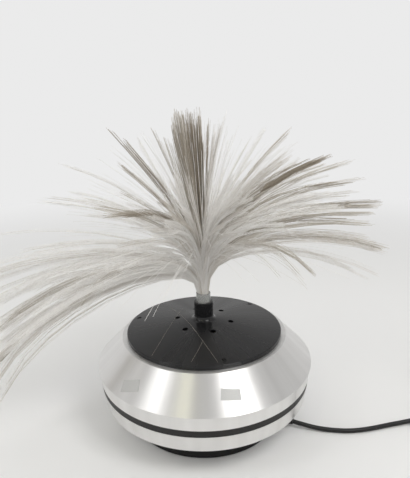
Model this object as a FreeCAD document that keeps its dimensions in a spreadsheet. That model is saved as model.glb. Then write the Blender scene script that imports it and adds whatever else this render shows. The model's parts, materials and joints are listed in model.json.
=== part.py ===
# Fibre optic lamp: a saucer base of spun aluminium, a black top plate with a collar, and a spray of
# plastic fibres in a clear ferrule. Inside are a lamp, a reflector and a motor that turns a colour
# wheel under the polished end of the fibres. Millimetres, +Z up, origin on the lamp's axis on the table.

import FreeCAD, Part
import math
import os
import re
import Sketcher
from fcgear import fcgear, involute

Vector = FreeCAD.Vector
Placement = FreeCAD.Placement
Rotation = FreeCAD.Rotation

doc = FreeCAD.newDocument("FibreOpticLamp")

# Driving dimensions
SIZES = [
    ("waist_radius", 125.0, "sharp edge under the upper cone, the widest circle"),
    ("lip_height", 106.0, "flat lip round the top plate"),
    ("lip_radius", 95.6, "outer edge of the flat lip"),
    ("waist_height", 76.5, "top of the sharp edge"),
    ("shell_wall", 1.2, "spun aluminium sheet"),
    ("flange_width", 17.6, "lip and flange that the top plate rests on"),
    ("hem_width", 8.0, "hem turned in under the sharp edge"),
    ("hem_step", 2.0, "how far the edge stands out over the band"),
    ("bowl_rim_height", 36.5, "foot of the lower band"),
    ("bowl_rim_radius", 119.1, "lower shell at its rim"),
    ("bowl_foot_radius", 92.0, "lower shell where it meets the foot"),
    ("bowl_opening", 77.0, "hole in the lower shell's flange"),
    ("spigot_height", 6.0, "upstand of the lower shell inside the band"),
    ("band_wall", 1.2, "aluminium strip of the two bands"),
    ("stripe_low", 52.9, "foot of the black stripe"),
    ("stripe_high", 61.0, "top of the black stripe"),
    ("stripe_low_radius", 121.9, "outer face at the foot of the stripe"),
    ("stripe_high_radius", 122.8, "outer face at the top of the stripe"),
    ("stripe_recess", 0.3, "stripe set back from the bands"),
    ("stripe_web", 1.1, "web of the trim behind the bands"),
    ("stripe_lap", 3.0, "how far the web laps each band"),
    ("seam_angle", -40.0, "where the ends of the bands meet"),
    ("seam_gap", 0.5, "gap between those ends"),
    ("felt_thickness", 1.0, "felt pad under the foot"),
    ("felt_radius", 77.0, "felt pad"),
    ("foot_radius", 89.0, "black foot"),
    ("foot_height", 16.0, "black foot, over the felt"),
    ("pan_wall", 2.2, "wall of the foot"),
    ("pan_floor", 2.5, "floor of the foot"),
    ("ledge_width", 10.0, "raised ledge that carries the posts"),
    ("ledge_height", 7.0, "ledge over the underside of the pan"),
    ("floor_vent_radius", 3.0, "air holes in the pan and the felt"),
    ("floor_vent_circle", 70.0, "circle of those holes"),
    ("post_circle", 83.0, "circle of the tie posts and rim screws"),
    ("post_angle", 43.5, "first tie post"),
    ("post_radius", 3.0, "tie post"),
    ("post_shoulder", 4.9, "shoulder that holds the lower shell down"),
    ("shoulder_height", 2.0, "thickness of the shoulder"),
    ("post_gap", 0.3, "clearance round a post in the lower shell"),
    ("fit_gap", 0.1, "clearance between pieces that slide together"),
    ("seat_gap", 0.001, "motor under its plate"),
    ("table_gap", 0.1, "coil and switch over the table"),
    ("screw_radius", 1.45, "shank of an M3 screw"),
    ("screw_gap", 0.1, "clearance round a screw in its thread"),
    ("screw_pass", 0.35, "clearance round a screw in a plate"),
    ("head_radius", 2.6, "cheese head of an M3 screw"),
    ("head_height", 2.0, "the same head"),
    ("head_slot", 0.7, "width of the driver slot"),
    ("thread_depth", 9.0, "screw in a post"),
    ("plate_radius", 90.0, "black top plate"),
    ("plate_edge", 4.6, "upright edge of the top plate"),
    ("plate_wall", 2.2, "top plate"),
    ("plate_apex", 121.6, "slope of the plate where it meets the collar"),
    ("plate_rim", 11.5, "thick rim of the top plate"),
    ("collar_radius", 11.0, "collar"),
    ("collar_height", 142.4, "top of the collar"),
    ("collar_flare", 5.0, "fillet at the foot of the collar"),
    ("collar_step", 101.0, "step inside the collar that carries the bush"),
    ("step_width", 1.0, "that step"),
    ("boss_length", 3.0, "collar tube below the step"),
    ("groove_depth", 0.5, "rings turned in the top of the collar"),
    ("groove_width", 0.8, "one ring"),
    ("groove_pitch", 1.8, "from ring to ring"),
    ("vent_circle", 32.0, "six air holes in the top plate"),
    ("vent_radius", 3.2, "one air hole"),
    ("vent_angle", 48.0, "first air hole"),
    ("bush_gap", 0.05, "bush in the collar"),
    ("bush_wall", 1.05, "collar bush"),
    ("ferrule_gap", 0.07, "ferrule in the bush"),
    ("ferrule_top", 153.0, "clear ferrule"),
    ("ferrule_bottom", 88.0, "clear ferrule"),
    ("ferrule_step", 103.0, "shoulder of the ferrule that rests on the bush"),
    ("ferrule_neck", 0.6, "how much thinner it is below that shoulder"),
    ("ferrule_bore", 7.0, "bore for the fibres"),
    ("bundle_gap", 0.05, "bundle of fibres in the ferrule"),
    ("bundle_end", 2.0, "polished end of the bundle under the ferrule"),
    ("crown_radius", 14.0, "where the bunches part"),
    ("crown_height", 182.0, "the same place"),
    ("bunch_root", 5.0, "radius of a bunch where it starts"),
    ("bunch_start", 8.0, "start of a bunch along its heading"),
    ("chassis_height", 66.0, "underside of the chassis plate"),
    ("chassis_wall", 1.5, "chassis plate"),
    ("chassis_radius", 88.0, "chassis plate"),
    ("beam_radius", 17.0, "hole in the chassis for the light"),
    ("chassis_vent", 10.0, "air holes in the chassis"),
    ("chassis_vent_share", 0.62, "their circle as a share of the chassis"),
    ("spacer_wall", 1.6, "tubes between the lower shell and the chassis"),
    ("clip_radius", 6.0, "push nuts on the posts"),
    ("clip_wall", 0.8, "push nuts on the posts"),
    ("reflector_radius", 28.0, "mouth of the reflector"),
    ("reflector_height", 60.0, "mouth of the reflector"),
    ("reflector_depth", 26.0, "from the mouth to the apex of the parabola"),
    ("reflector_hole", 10.6, "hole for the lamp"),
    ("reflector_wall", 0.8, "sheet of the reflector"),
    ("reflector_rim", 3.4, "flat rim of the reflector"),
    ("stud_radius", 1.4, "studs that hang the reflector"),
    ("holder_radius", 9.5, "lampholder"),
    ("holder_top", 38.0, "lampholder"),
    ("holder_base", 18.0, "lampholder"),
    ("cap_radius", 7.5, "cap of the lamp"),
    ("cap_height", 16.0, "cap of the lamp"),
    ("cap_gap", 0.1, "cap in its holder"),
    ("cap_wall", 0.6, "cap of the lamp"),
    ("bulb_radius", 10.5, "glass of the lamp"),
    ("bulb_wall", 0.7, "glass of the lamp"),
    ("bulb_centre", 47.5, "middle of the glass"),
    ("bracket_width", 16.0, "strip of the lamp bracket"),
    ("bracket_wall", 1.5, "strip of the lamp bracket"),
    ("bracket_foot", 14.0, "foot of the lamp bracket"),
    ("bracket_reach", 13.0, "riser from the axis"),
    ("core_place", 52.0, "transformer from the axis"),
    ("core_depth", 20.0, "stack of the transformer"),
    ("core_width", 54.0, "transformer"),
    ("core_height", 45.0, "transformer"),
    ("window_width", 9.0, "window in the core"),
    ("window_height", 27.0, "window in the core"),
    ("winding_depth", 36.0, "winding, front to back"),
    ("winding_gap", 0.2, "winding in its window"),
    ("clamp_wall", 1.0, "strap of the transformer"),
    ("clamp_width", 14.0, "strap of the transformer"),
    ("clamp_foot", 9.0, "one foot of the strap"),
    ("terminal_place", 56.0, "terminal block from the axis"),
    ("terminal_length", 26.0, "terminal block"),
    ("terminal_width", 14.0, "terminal block"),
    ("terminal_height", 11.0, "terminal block"),
    ("terminal_pitch", 10.0, "from pole to pole"),
    ("terminal_screw", 1.8, "clamp screw"),
    ("wheel_place", 33.0, "axle of the colour wheel from the axis"),
    ("wheel_radius", 50.0, "colour wheel"),
    ("wheel_height", 80.0, "underside of the wheel's disc"),
    ("wheel_wall", 1.2, "disc of the wheel"),
    ("wheel_rim", 3.0, "rim outside the windows"),
    ("wheel_hub", 12.0, "disc inside the windows"),
    ("wheel_spoke", 6.0, "spokes between the windows"),
    ("hub_radius", 6.0, "sleeve of the wheel"),
    ("hub_top", 83.0, "sleeve of the wheel"),
    ("filter_wall", 0.4, "colour filter"),
    ("filter_lap", 1.2, "filter over the edge of its window"),
    ("filter_angle", 89.0, "sector of one filter"),
    ("axle_radius", 2.0, "axle of the wheel"),
    ("axle_gap", 0.05, "axle in its sleeve"),
    ("axle_head", 4.0, "collar of the axle on the chassis"),
    ("gear_module", 1.0, "tooth size of both gears"),
    ("gear_teeth", 48.0, "wheel gear"),
    ("pinion_teeth", 12.0, "motor pinion"),
    ("gear_play", 0.25, "centre distance over the pitch circles"),
    ("gear_height", 70.0, "underside of both gears"),
    ("gear_wall", 4.0, "wheel gear"),
    ("motor_angle", -45.0, "motor seen from the wheel's axle"),
    ("motor_radius", 21.0, "motor"),
    ("motor_height", 20.0, "motor"),
    ("motor_ear", 4.5, "screw from the motor's rim"),
    ("ear_width", 9.0, "ear of the motor"),
    ("ear_wall", 1.2, "ear of the motor"),
    ("shaft_radius", 2.0, "motor shaft"),
    ("shaft_gap", 0.05, "shaft in the motor"),
    ("lead_radius", 2.5, "mains lead"),
    ("lead_angle", -23.0, "where the lead leaves the foot"),
    ("lead_height", 7.6, "the same place"),
    ("relief_length", 20.0, "strain relief outside the foot"),
    ("relief_inset", 2.0, "strain relief inside the ledge"),
    ("relief_radius", 5.4, "thick end of the strain relief"),
    ("relief_tip", 3.3, "thin end of the strain relief"),
    ("relief_neck", 3.7, "strain relief in the wall of the foot"),
    ("relief_gap", 0.1, "clearance round the strain relief"),
    ("relief_flange", 4.0, "flange inside the wall"),
    ("wire_radius", 1.0, "inner wires"),
    ("switch_x", 293.0, "middle of the in-line switch"),
    ("switch_y", -37.6, "middle of the in-line switch"),
    ("switch_angle", 5.0, "turn of the in-line switch"),
    ("switch_length", 60.0, "in-line switch"),
    ("switch_width", 26.0, "in-line switch"),
    ("switch_parting", 8.0, "height of its lower half"),
    ("switch_height", 16.0, "in-line switch"),
    ("switch_wall", 2.0, "in-line switch"),
    ("switch_round", 2.5, "rounded edges of the switch"),
    ("rocker_length", 20.0, "rocker"),
    ("rocker_width", 11.0, "rocker"),
    ("rocker_gap", 0.6, "clearance round the rocker"),
    ("rocker_proud", 2.2, "rocker over the cover"),
    ("rocker_angle", 7.0, "half the rocker's travel"),
    ("rocker_pin", 1.5, "trunnion of the rocker"),
    ("coil_x", 330.0, "middle of the coil"),
    ("coil_y", 40.0, "middle of the coil"),
    ("coil_radius", 30.0, "coil of lead at the middle of its turns"),
    ("coil_width", 20.0, "coil, across its turns"),
    ("coil_height", 14.8, "coil"),
    ("tie_wall", 0.8, "strap round the coil"),
    ("tie_width", 6.0, "strap round the coil"),
    ("plug_angle", 85.0, "heading of the plug"),
    ("plug_length", 35.0, "plug"),
    ("plug_width", 25.6, "plug"),
    ("plug_thickness", 13.7, "plug"),
    ("plug_nose", 19.0, "width of the plug at its pins"),
    ("plug_tail", 14.0, "tapered sleeve of the plug"),
    ("pin_radius", 2.0, "pin of the plug"),
    ("pin_length", 19.0, "pin of the plug"),
    ("pin_root", 1.6, "root of the pin in the plug"),
    ("pin_seat", 6.0, "length of that root"),
    ("pin_spacing", 18.6, "pin to pin"),
]

# Bunches of fibres, each a bent cone: name, bearing of the tip, how far out and how high the tip is,
# how steeply it starts, and the radius of its end
BUNCHES = [
    ("fibres_upright", 190.0, 18.0, 357.0, 84.0, 13.0),
    ("fibres_upper_left", 178.0, 88.0, 335.0, 56.0, 7.0),
    ("fibres_left", 182.0, 122.0, 250.0, 26.0, 9.0),
    ("fibres_left_plume", 194.0, 266.0, 88.0, 2.0, 20.0),
    ("fibres_right_upper", 6.0, 128.0, 306.0, 57.0, 14.0),
    ("fibres_right_middle", 2.0, 196.0, 252.0, 27.0, 16.0),
    ("fibres_right_lower", -22.0, 190.0, 186.0, 0.0, 13.0),
    ("fibres_front", -96.0, 150.0, 282.0, 40.0, 18.0),
    ("fibres_back", 84.0, 158.0, 262.0, 38.0, 18.0),
]
BUNCH_CELLS = ("bearing", "reach", "height", "rise", "end")
for label, *numbers in BUNCHES:
    for word, number in zip(BUNCH_CELLS, numbers):
        SIZES.append((f"{label}_{word}", number, "bunch of fibres"))

sheet = doc.addObject("Spreadsheet::Sheet", "Sizes")
for row, (alias, number, meaning) in enumerate(SIZES, start=1):
    sheet.set(f"A{row}", meaning)
    sheet.set(f"B{row}", str(number))
    sheet.setAlias(f"B{row}", alias)
doc.recompute()
ALIASES = {alias for alias, number, meaning in SIZES}

# Places that follow from the driving dimensions
PLACES = {
    "pan_base": "felt_thickness",
    "pan_top": "pan_base + foot_height",
    "pan_inside": "pan_base + pan_floor",
    "ledge_top": "pan_base + ledge_height",
    "ledge_radius": "foot_radius - ledge_width",
    "bowl_slope": "(bowl_rim_height - shell_wall - pan_top) / (bowl_rim_radius - bowl_foot_radius)",
    "bowl_lift": "shell_wall * sqrt(1 + bowl_slope ^ 2)",
    "spigot_radius": "bowl_rim_radius - band_wall - fit_gap",
    "cone_slope": "(lip_height - waist_height) / (waist_radius - lip_radius)",
    "cone_drop": "shell_wall * sqrt(1 + cone_slope ^ 2)",
    "hem_bottom": "waist_height - shell_wall",
    "band_top_radius": "waist_radius - hem_step",
    "web_radius": "bowl_rim_radius + 0.9",
    "flange_bottom": "lip_height - shell_wall",
    "flange_radius": "lip_radius - flange_width",
    "plate_top": "lip_height + plate_edge",
    "plate_slope": "(plate_apex - plate_top) / (plate_radius - collar_radius)",
    "rim_surface": "plate_top + plate_slope * (plate_radius - post_circle)",
    "rim_seat": "rim_surface - head_height - 0.4",
    "bush_radius": "collar_radius - 1.55",
    "collar_bore": "bush_radius + bush_gap",
    "ferrule_radius": "bush_radius - bush_wall - ferrule_gap",
    "neck_radius": "ferrule_radius - ferrule_neck",
    "bundle_radius": "ferrule_bore - bundle_gap",
    "shoulder_base": "pan_top + shell_wall",
    "shoulder_top": "shoulder_base + shoulder_height",
    "chassis_top": "chassis_height + chassis_wall",
    "motor_place": "gear_module * (gear_teeth + pinion_teeth) / 2 + gear_play",
    "motor_x": "wheel_place + motor_place * cos(motor_angle)",
    "motor_y": "motor_place * sin(motor_angle)",
    "wheel_top": "wheel_height + wheel_wall",
    "relief_start": "ledge_radius - relief_inset",
    "relief_step": "ledge_width + relief_inset + 0.05",
    "relief_stop": "ledge_width + relief_inset + relief_length",
    "relief_end": "foot_radius + relief_length",
    "cap_foot": "holder_top - cap_height + 1",
    "pivot_height": "switch_height - switch_wall - 2.0",
}
WORD = re.compile(r"[a-z][a-z_]*")


def bound(text):
    """An expression on the sheet's cells, from the plain words used here."""
    def swap(found):
        word = found.group()
        if word in PLACES:
            return "(" + bound(PLACES[word]) + ")"
        return "Sizes." + word if word in ALIASES else word
    return WORD.sub(swap, str(text))


def size(text):
    """The number that such an expression gives."""
    return float(sheet.evalExpression(bound(text)))


NODES = {}


def node(item, label):
    """Name a finished sub-part."""
    item.Label = label
    NODES[label] = item
    return item


def tie(item, **properties):
    """Bind properties of an object to expressions; x, y and z are its place."""
    for key, text in properties.items():
        path = "Placement.Base." + key if key in ("x", "y", "z") else key
        item.setExpression(path, bound(text))
    return item


# Sketches and turned bodies
def plane_of(body, role):
    return next(item for item in body.Origin.OriginFeatures if item.Role == role)


def sketch_on(body, label, role="XZ_Plane"):
    sketch = body.newObject("Sketcher::SketchObject", label)
    sketch.AttachmentSupport = (plane_of(body, role), [""])
    sketch.MapMode = "FlatFace"
    return sketch


def pin_point(sketch, piece, end, across, up):
    """Hold one point of a sketch at two expressions."""
    for kind, text, axis in (("DistanceX", across, -2), ("DistanceY", up, -1)):
        value = size(text)
        if abs(value) < 1e-9:
            sketch.addConstraint(Sketcher.Constraint("PointOnObject", piece, end, axis))
            continue
        index = sketch.addConstraint(Sketcher.Constraint(kind, -1, 1, piece, end, value))
        sketch.setExpression(f"Constraints[{index}]", bound(text))


def outline(sketch, points):
    """A closed outline of straight lines through points, each a pair of expressions."""
    corners = [Vector(size(across), size(up), 0) for across, up in points]
    count = len(corners)
    for start in range(count):
        sketch.addGeometry(Part.LineSegment(corners[start], corners[(start + 1) % count]))
    for start in range(count):
        sketch.addConstraint(Sketcher.Constraint("Coincident", start, 2, (start + 1) % count, 1))
    for start, (across, up) in enumerate(points):
        pin_point(sketch, start, 1, across, up)


def turned(label, points):
    """A body turned about its own Z axis."""
    body = doc.addObject("PartDesign::Body", label)
    sketch = sketch_on(body, label + "_profile")
    outline(sketch, points)
    turn = body.newObject("PartDesign::Revolution", label + "_turn")
    turn.Profile = sketch
    turn.ReferenceAxis = (sketch, ["V_Axis"])
    turn.Angle = 360
    sketch.Visibility = False
    doc.recompute()
    return body


def drilled(body, label, radius, across="0", up="0", count=1):
    """Round holes right through a body along Z, one or a ring of them."""
    before = body.Shape.Volume
    sketch = sketch_on(body, label + "_sketch", "XY_Plane")
    sketch.addGeometry(Part.Circle(Vector(size(across), size(up), 0), Vector(0, 0, 1), size(radius)))
    index = sketch.addConstraint(Sketcher.Constraint("Radius", 0, size(radius)))
    sketch.setExpression(f"Constraints[{index}]", bound(radius))
    pin_point(sketch, 0, 3, across, up)
    pocket = body.newObject("PartDesign::Pocket", label)
    pocket.Profile = sketch
    pocket.Type = "ThroughAll"
    pocket.Midplane = True
    doc.recompute()
    if count > 1:
        ring = body.newObject("PartDesign::PolarPattern", label + "_ring")
        ring.Originals = [pocket]
        ring.Axis = (plane_of(body, "Z_Axis"), [""])
        ring.Angle = 360
        ring.Occurrences = count
        body.Tip = ring
        doc.recompute()
    if body.Shape.Volume >= before:
        raise ValueError(label + " cuts nothing")


def filleted(body, label, radius, wanted):
    """Round the edges of a body that a test picks."""
    tip = body.Tip
    names = [f"Edge{i}" for i, edge in enumerate(tip.Shape.Edges, start=1) if wanted(edge)]
    if not names:
        raise ValueError(label + " finds no edge")
    fillet = body.newObject("PartDesign::Fillet", label)
    fillet.Base = (tip, names)
    fillet.setExpression("Radius", bound(radius))
    doc.recompute()


def every_edge(edge):
    """A test that every edge passes."""
    return True


def level_edge(edge):
    """A test for an edge that lies level."""
    return abs(edge.Vertexes[0].Z - edge.Vertexes[-1].Z) < 1e-6


def circle_at(radius, height):
    """A test for a circular edge about the Z axis."""
    def wanted(edge):
        curve = edge.Curve
        if not isinstance(curve, Part.Circle):
            return False
        return abs(curve.Radius - size(radius)) < 1e-3 and abs(curve.Center.z - size(height)) < 1e-3
    return wanted


# Plain solids and booleans
def rod(label, radius, length, x="0", y="0", z="0"):
    item = doc.addObject("Part::Cylinder", label)
    return tie(item, Radius=radius, Height=length, x=x, y=y, z=z)


def block(label, length, width, height, x="0", y="0", z="0"):
    """A box centred on x and y, standing on z."""
    item = doc.addObject("Part::Box", label)
    x = f"({x}) - ({length}) / 2"
    y = f"({y}) - ({width}) / 2"
    return tie(item, Length=length, Width=width, Height=height, x=x, y=y, z=z)


def cut(label, base, *tools):
    for number, tool in enumerate(tools, start=1):
        item = doc.addObject("Part::Cut", f"{label}_cut_{number}")
        item.Base = base
        item.Tool = tool
        base = item
    return base


def fuse(label, *pieces):
    item = doc.addObject("Part::MultiFuse", label + "_fuse")
    item.Shapes = list(pieces)
    item.Refine = True
    return item


def loose(label, shape):
    item = doc.addObject("Part::Feature", label)
    item.Shape = shape
    return item


def copies(label, base, places):
    """One node of separate solids, the same shape at several placements."""
    doc.recompute()
    return loose(label, Part.makeCompound([base.Shape.transformed(p.toMatrix()) for p in places]))


def about(angle, x=0.0, y=0.0, z=0.0):
    """A turn about the Z axis, then a move."""
    return Placement(Vector(x, y, z), Rotation(Vector(0, 0, 1), angle))


def post_places():
    return [about(size("post_angle") + 120 * i) for i in range(3)]


def ring_place(radius, angle):
    return (f"({radius}) * cos({angle})", f"({radius}) * sin({angle})")


# Felt pad and foot
def make_foot():
    felt = turned("FeltPad", [("0", "0"), ("felt_radius", "0"), ("felt_radius", "felt_thickness"),
                              ("0", "felt_thickness")])
    drilled(felt, "FeltVents", "floor_vent_radius", "floor_vent_circle", "0", 12)
    node(felt, "felt_pad")
    pan = turned("BasePan", [
        ("0", "pan_base"), ("foot_radius", "pan_base"), ("foot_radius", "pan_top"),
        ("foot_radius - pan_wall", "pan_top"), ("foot_radius - pan_wall", "ledge_top"),
        ("ledge_radius", "ledge_top"), ("ledge_radius", "pan_inside"), ("0", "pan_inside")])
    drilled(pan, "PanVents", "floor_vent_radius", "floor_vent_circle", "0", 12)
    x, y = ring_place("post_circle", "post_angle")
    drilled(pan, "PanScrews", "screw_radius + screw_pass", x, y, 3)
    tools = []
    for i in range(3):
        x, y = ring_place("post_circle", f"post_angle + {120 * i}")
        tools.append(rod(f"PanCounterbore{i}", "head_radius + 0.4", "head_height + 1.0", x, y, "pan_base"))
    for i, (x, y) in enumerate(floor_screw_places()):
        tools.append(rod(f"PanPilot{i}", "screw_radius + screw_gap", "pan_floor", x, y, "pan_base + 0.4"))
    hole = rod("PanLeadHole", "relief_neck + relief_gap", "2 * ledge_width + relief_length")
    aim(hole, "relief_start")
    inside = rod("PanLeadRoom", "relief_flange + relief_gap / 2", "ledge_width + 1.7 - pan_wall")
    aim(inside, "relief_start")
    node(cut("BasePan", pan, *tools, hole, inside), "base_pan")


def floor_screw_places():
    """Where the transformer's clamp and the lamp bracket are screwed to the floor of the foot."""
    reach = "core_width / 2 + clamp_wall + clamp_foot / 2"
    return [("-core_place", reach), ("-core_place", f"-({reach})"),
            ("bracket_reach + bracket_foot / 2 + 1", "0")]


def aim(item, start):
    """Turn a rod or turned body to point out along the lead, from a radius."""
    item.Placement = Placement(Vector(), Rotation(Vector(0, 0, 1), size("lead_angle"))
                               * Rotation(Vector(0, 1, 0), 90))
    x, y = ring_place(start, "lead_angle")
    return tie(item, x=x, y=y, z="lead_height")


# Aluminium shells, bands and stripe
def seam_box(label):
    """A thin slot across a band at the seam."""
    item = doc.addObject("Part::Box", label)
    item.Placement = Placement(Vector(), Rotation(Vector(0, 0, 1), size("seam_angle")))
    x = "bowl_opening * cos(seam_angle) + seam_gap / 2 * sin(seam_angle)"
    y = "bowl_opening * sin(seam_angle) - seam_gap / 2 * cos(seam_angle)"
    return tie(item, Length="waist_radius", Width="seam_gap", Height="waist_height", x=x, y=y, z="0")


def make_shells():
    lower = turned("LowerShell", [
        ("bowl_opening", "pan_top"), ("bowl_foot_radius", "pan_top"),
        ("bowl_rim_radius", "bowl_rim_height - shell_wall"), ("bowl_rim_radius", "bowl_rim_height"),
        ("spigot_radius", "bowl_rim_height"), ("spigot_radius", "bowl_rim_height + spigot_height"),
        ("spigot_radius - shell_wall", "bowl_rim_height + spigot_height"),
        ("spigot_radius - shell_wall",
         "pan_top + bowl_slope * (spigot_radius - shell_wall - bowl_foot_radius) + bowl_lift"),
        ("bowl_foot_radius - (bowl_lift - shell_wall) / bowl_slope", "pan_top + shell_wall"),
        ("bowl_opening", "pan_top + shell_wall")])
    x, y = ring_place("post_circle", "post_angle")
    drilled(lower, "LowerShellPosts", "post_radius + post_gap", x, y, 3)
    node(lower, "lower_shell")
    upper = turned("UpperShell", [
        ("flange_radius", "lip_height"), ("lip_radius", "lip_height"), ("waist_radius", "waist_height"),
        ("waist_radius", "hem_bottom"), ("waist_radius - hem_width", "hem_bottom"),
        ("waist_radius - hem_width", "waist_height"),
        ("waist_radius - cone_drop / cone_slope", "waist_height"),
        ("lip_radius - (cone_drop - shell_wall) / cone_slope", "flange_bottom"),
        ("flange_radius", "flange_bottom")])
    drilled(upper, "UpperShellScrews", "screw_radius + screw_pass", x, y, 3)
    node(upper, "upper_shell")
    low_band = turned("LowerBand", [
        ("bowl_rim_radius - band_wall", "bowl_rim_height"), ("bowl_rim_radius", "bowl_rim_height"),
        ("stripe_low_radius", "stripe_low"), ("stripe_low_radius - band_wall", "stripe_low")])
    node(cut("LowerBand", low_band, seam_box("LowerSeam")), "lower_band")
    high_band = turned("UpperBand", [
        ("stripe_high_radius - band_wall", "stripe_high"), ("stripe_high_radius", "stripe_high"),
        ("band_top_radius", "hem_bottom"), ("band_top_radius - band_wall", "hem_bottom")])
    node(cut("UpperBand", high_band, seam_box("UpperSeam")), "upper_band")
    stripe = turned("StripeTrim", [
        ("web_radius - stripe_web", "stripe_low - stripe_lap"), ("web_radius", "stripe_low - stripe_lap"),
        ("web_radius", "stripe_low"), ("stripe_low_radius - stripe_recess", "stripe_low"),
        ("stripe_high_radius - stripe_recess", "stripe_high"), ("web_radius", "stripe_high"),
        ("web_radius", "stripe_high + stripe_lap"),
        ("web_radius - stripe_web", "stripe_high + stripe_lap")])
    node(cut("StripeTrim", stripe, seam_box("StripeSeam")), "stripe_trim")


# Top plate with its collar
def make_top_plate():
    points = [
        ("plate_radius", "lip_height"), ("plate_radius", "plate_top"), ("collar_radius", "plate_apex")]
    for i in range(3):
        top = f"collar_height - {i + 1} * groove_pitch + groove_width"
        points[3:3] = [("collar_radius", f"({top}) - groove_width"),
                       ("collar_radius - groove_depth", f"({top}) - groove_width"),
                       ("collar_radius - groove_depth", top), ("collar_radius", top)]
    points += [
        ("collar_radius", "collar_height"), ("collar_bore", "collar_height"),
        ("collar_bore", "collar_step"), ("collar_bore - step_width", "collar_step"),
        ("collar_bore - step_width", "collar_step - boss_length"),
        ("collar_radius + 0.8", "collar_step - boss_length"),
        ("collar_radius + 0.8", "plate_apex - plate_wall"),
        ("plate_radius - plate_rim",
         "plate_top + plate_slope * plate_rim - plate_wall"),
        ("plate_radius - plate_rim", "lip_height")]
    plate = turned("TopPlate", points)
    filleted(plate, "CollarFlare", "collar_flare", circle_at("collar_radius", "plate_apex"))
    filleted(plate, "PlateEdge", "0.8", circle_at("plate_radius", "plate_top"))
    filleted(plate, "CollarEdge", "0.5", circle_at("collar_radius", "collar_height"))
    x, y = ring_place("vent_circle", "vent_angle")
    drilled(plate, "PlateVents", "vent_radius", x, y, 6)
    x, y = ring_place("post_circle", "post_angle")
    drilled(plate, "PlateScrews", "screw_radius + screw_pass", x, y, 3)
    tools = []
    for i in range(3):
        x, y = ring_place("post_circle", f"post_angle + {120 * i}")
        tools.append(rod(f"PlateCounterbore{i}", "head_radius + 0.2", "plate_edge + 5", x, y, "rim_seat"))
    node(cut("TopPlate", plate, *tools), "top_plate")


# Screws
def cheese_screw(label, length):
    """A screw that points down from its head's underside at z = 0."""
    head = rod(label + "Head", "head_radius", "head_height")
    shank = rod(label + "Shank", "screw_radius", length, z=f"-({length})")
    body = fuse(label, head, shank)
    groove = block(label + "Slot", "3 * head_radius", "head_slot", "head_height", z="head_height * 0.55")
    return cut(label, body, groove)


def make_screws():
    top_length = "rim_seat - flange_bottom + thread_depth"
    top = cheese_screw("RimScrew", top_length)
    low_length = "ledge_height - head_height - 1.0 + thread_depth"
    low = cheese_screw("PanScrew", low_length)
    doc.recompute()
    solids = []
    for place in post_places():
        upper = Placement(Vector(size("post_circle"), 0, size("rim_seat")), Rotation(Vector(0, 0, 1), 25))
        under = Placement(Vector(size("post_circle"), 0, size("pan_base + head_height + 1.0")),
                          Rotation(Vector(1, 0, 0), 180))
        solids.append(top.Shape.transformed((place * upper).toMatrix()))
        solids.append(low.Shape.transformed((place * under).toMatrix()))
    node(loose("CaseScrews", Part.makeCompound(solids)), "case_screws")


# Posts and chassis, with air holes at these angles, clear of the motor and the wires
CHASSIS_VENTS = (100, 130, 197, 228, 257)


def make_posts():
    length = "flange_bottom - ledge_top"
    post = rod("Post", "post_radius", length, "post_circle", "0", "ledge_top")
    shoulder = rod("PostShoulder", "post_shoulder", "shoulder_height", "post_circle", "0", "shoulder_base")
    bore_low = rod("PostBoreLow", "screw_radius + screw_gap", "thread_depth + 1", "post_circle", "0",
                   "ledge_top")
    bore_high = rod("PostBoreHigh", "screw_radius + screw_gap", "thread_depth + 1", "post_circle", "0",
                    "flange_bottom - thread_depth - 1")
    body = cut("Post", fuse("Post", post, shoulder), bore_low, bore_high)
    node(copies("TiePosts", body, post_places()), "tie_posts")
    tube = rod("Spacer", "post_radius + fit_gap + spacer_wall", "chassis_height - shoulder_top",
               "post_circle", "0", "shoulder_top")
    bore = rod("SpacerBore", "post_radius + fit_gap", "chassis_height", "post_circle", "0", "pan_base")
    node(copies("ChassisSpacers", cut("Spacer", tube, bore), post_places()), "chassis_spacers")
    disc = rod("Clip", "clip_radius", "clip_wall", "post_circle", "0", "chassis_top")
    hole = rod("ClipBore", "post_radius + 0.02", "clip_wall * 2", "post_circle", "0", "chassis_top - 0.2")
    node(copies("PostClips", cut("Clip", disc, hole), post_places()), "post_clips")
    plate = rod("Chassis", "chassis_radius", "chassis_wall", z="chassis_height")
    tools = [rod("ChassisBeam", "beam_radius", "lip_height")]
    tools.append(rod("ChassisAxle", "axle_radius", "lip_height", "wheel_place"))
    tools.append(rod("ChassisShaft", "shaft_radius + 3", "lip_height", "motor_x", "motor_y"))
    for i, side in enumerate(("+", "-")):
        reach = f"{side} (motor_radius + motor_ear)"
        tools.append(rod(f"ChassisMotorHole{i}", "screw_radius + screw_gap", "lip_height",
                         f"motor_x {reach} * sin(motor_angle)", f"motor_y - ({reach} * cos(motor_angle))"))
    for i in range(3):
        x, y = ring_place("post_circle", f"post_angle + {120 * i}")
        tools.append(rod(f"ChassisPost{i}", "post_radius + fit_gap", "lip_height", x, y))
    for i, angle in enumerate(CHASSIS_VENTS):
        x, y = ring_place("chassis_radius * chassis_vent_share", str(angle))
        tools.append(rod(f"ChassisVent{i}", "chassis_vent", "lip_height", x, y))
    node(cut("Chassis", plate, *tools), "chassis_plate")


# Reflector and lamp
def parabola_radius(height):
    """Radius of the reflector inside, at a height."""
    return f"reflector_radius * sqrt((({height}) - reflector_height + reflector_depth) / reflector_depth)"


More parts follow.
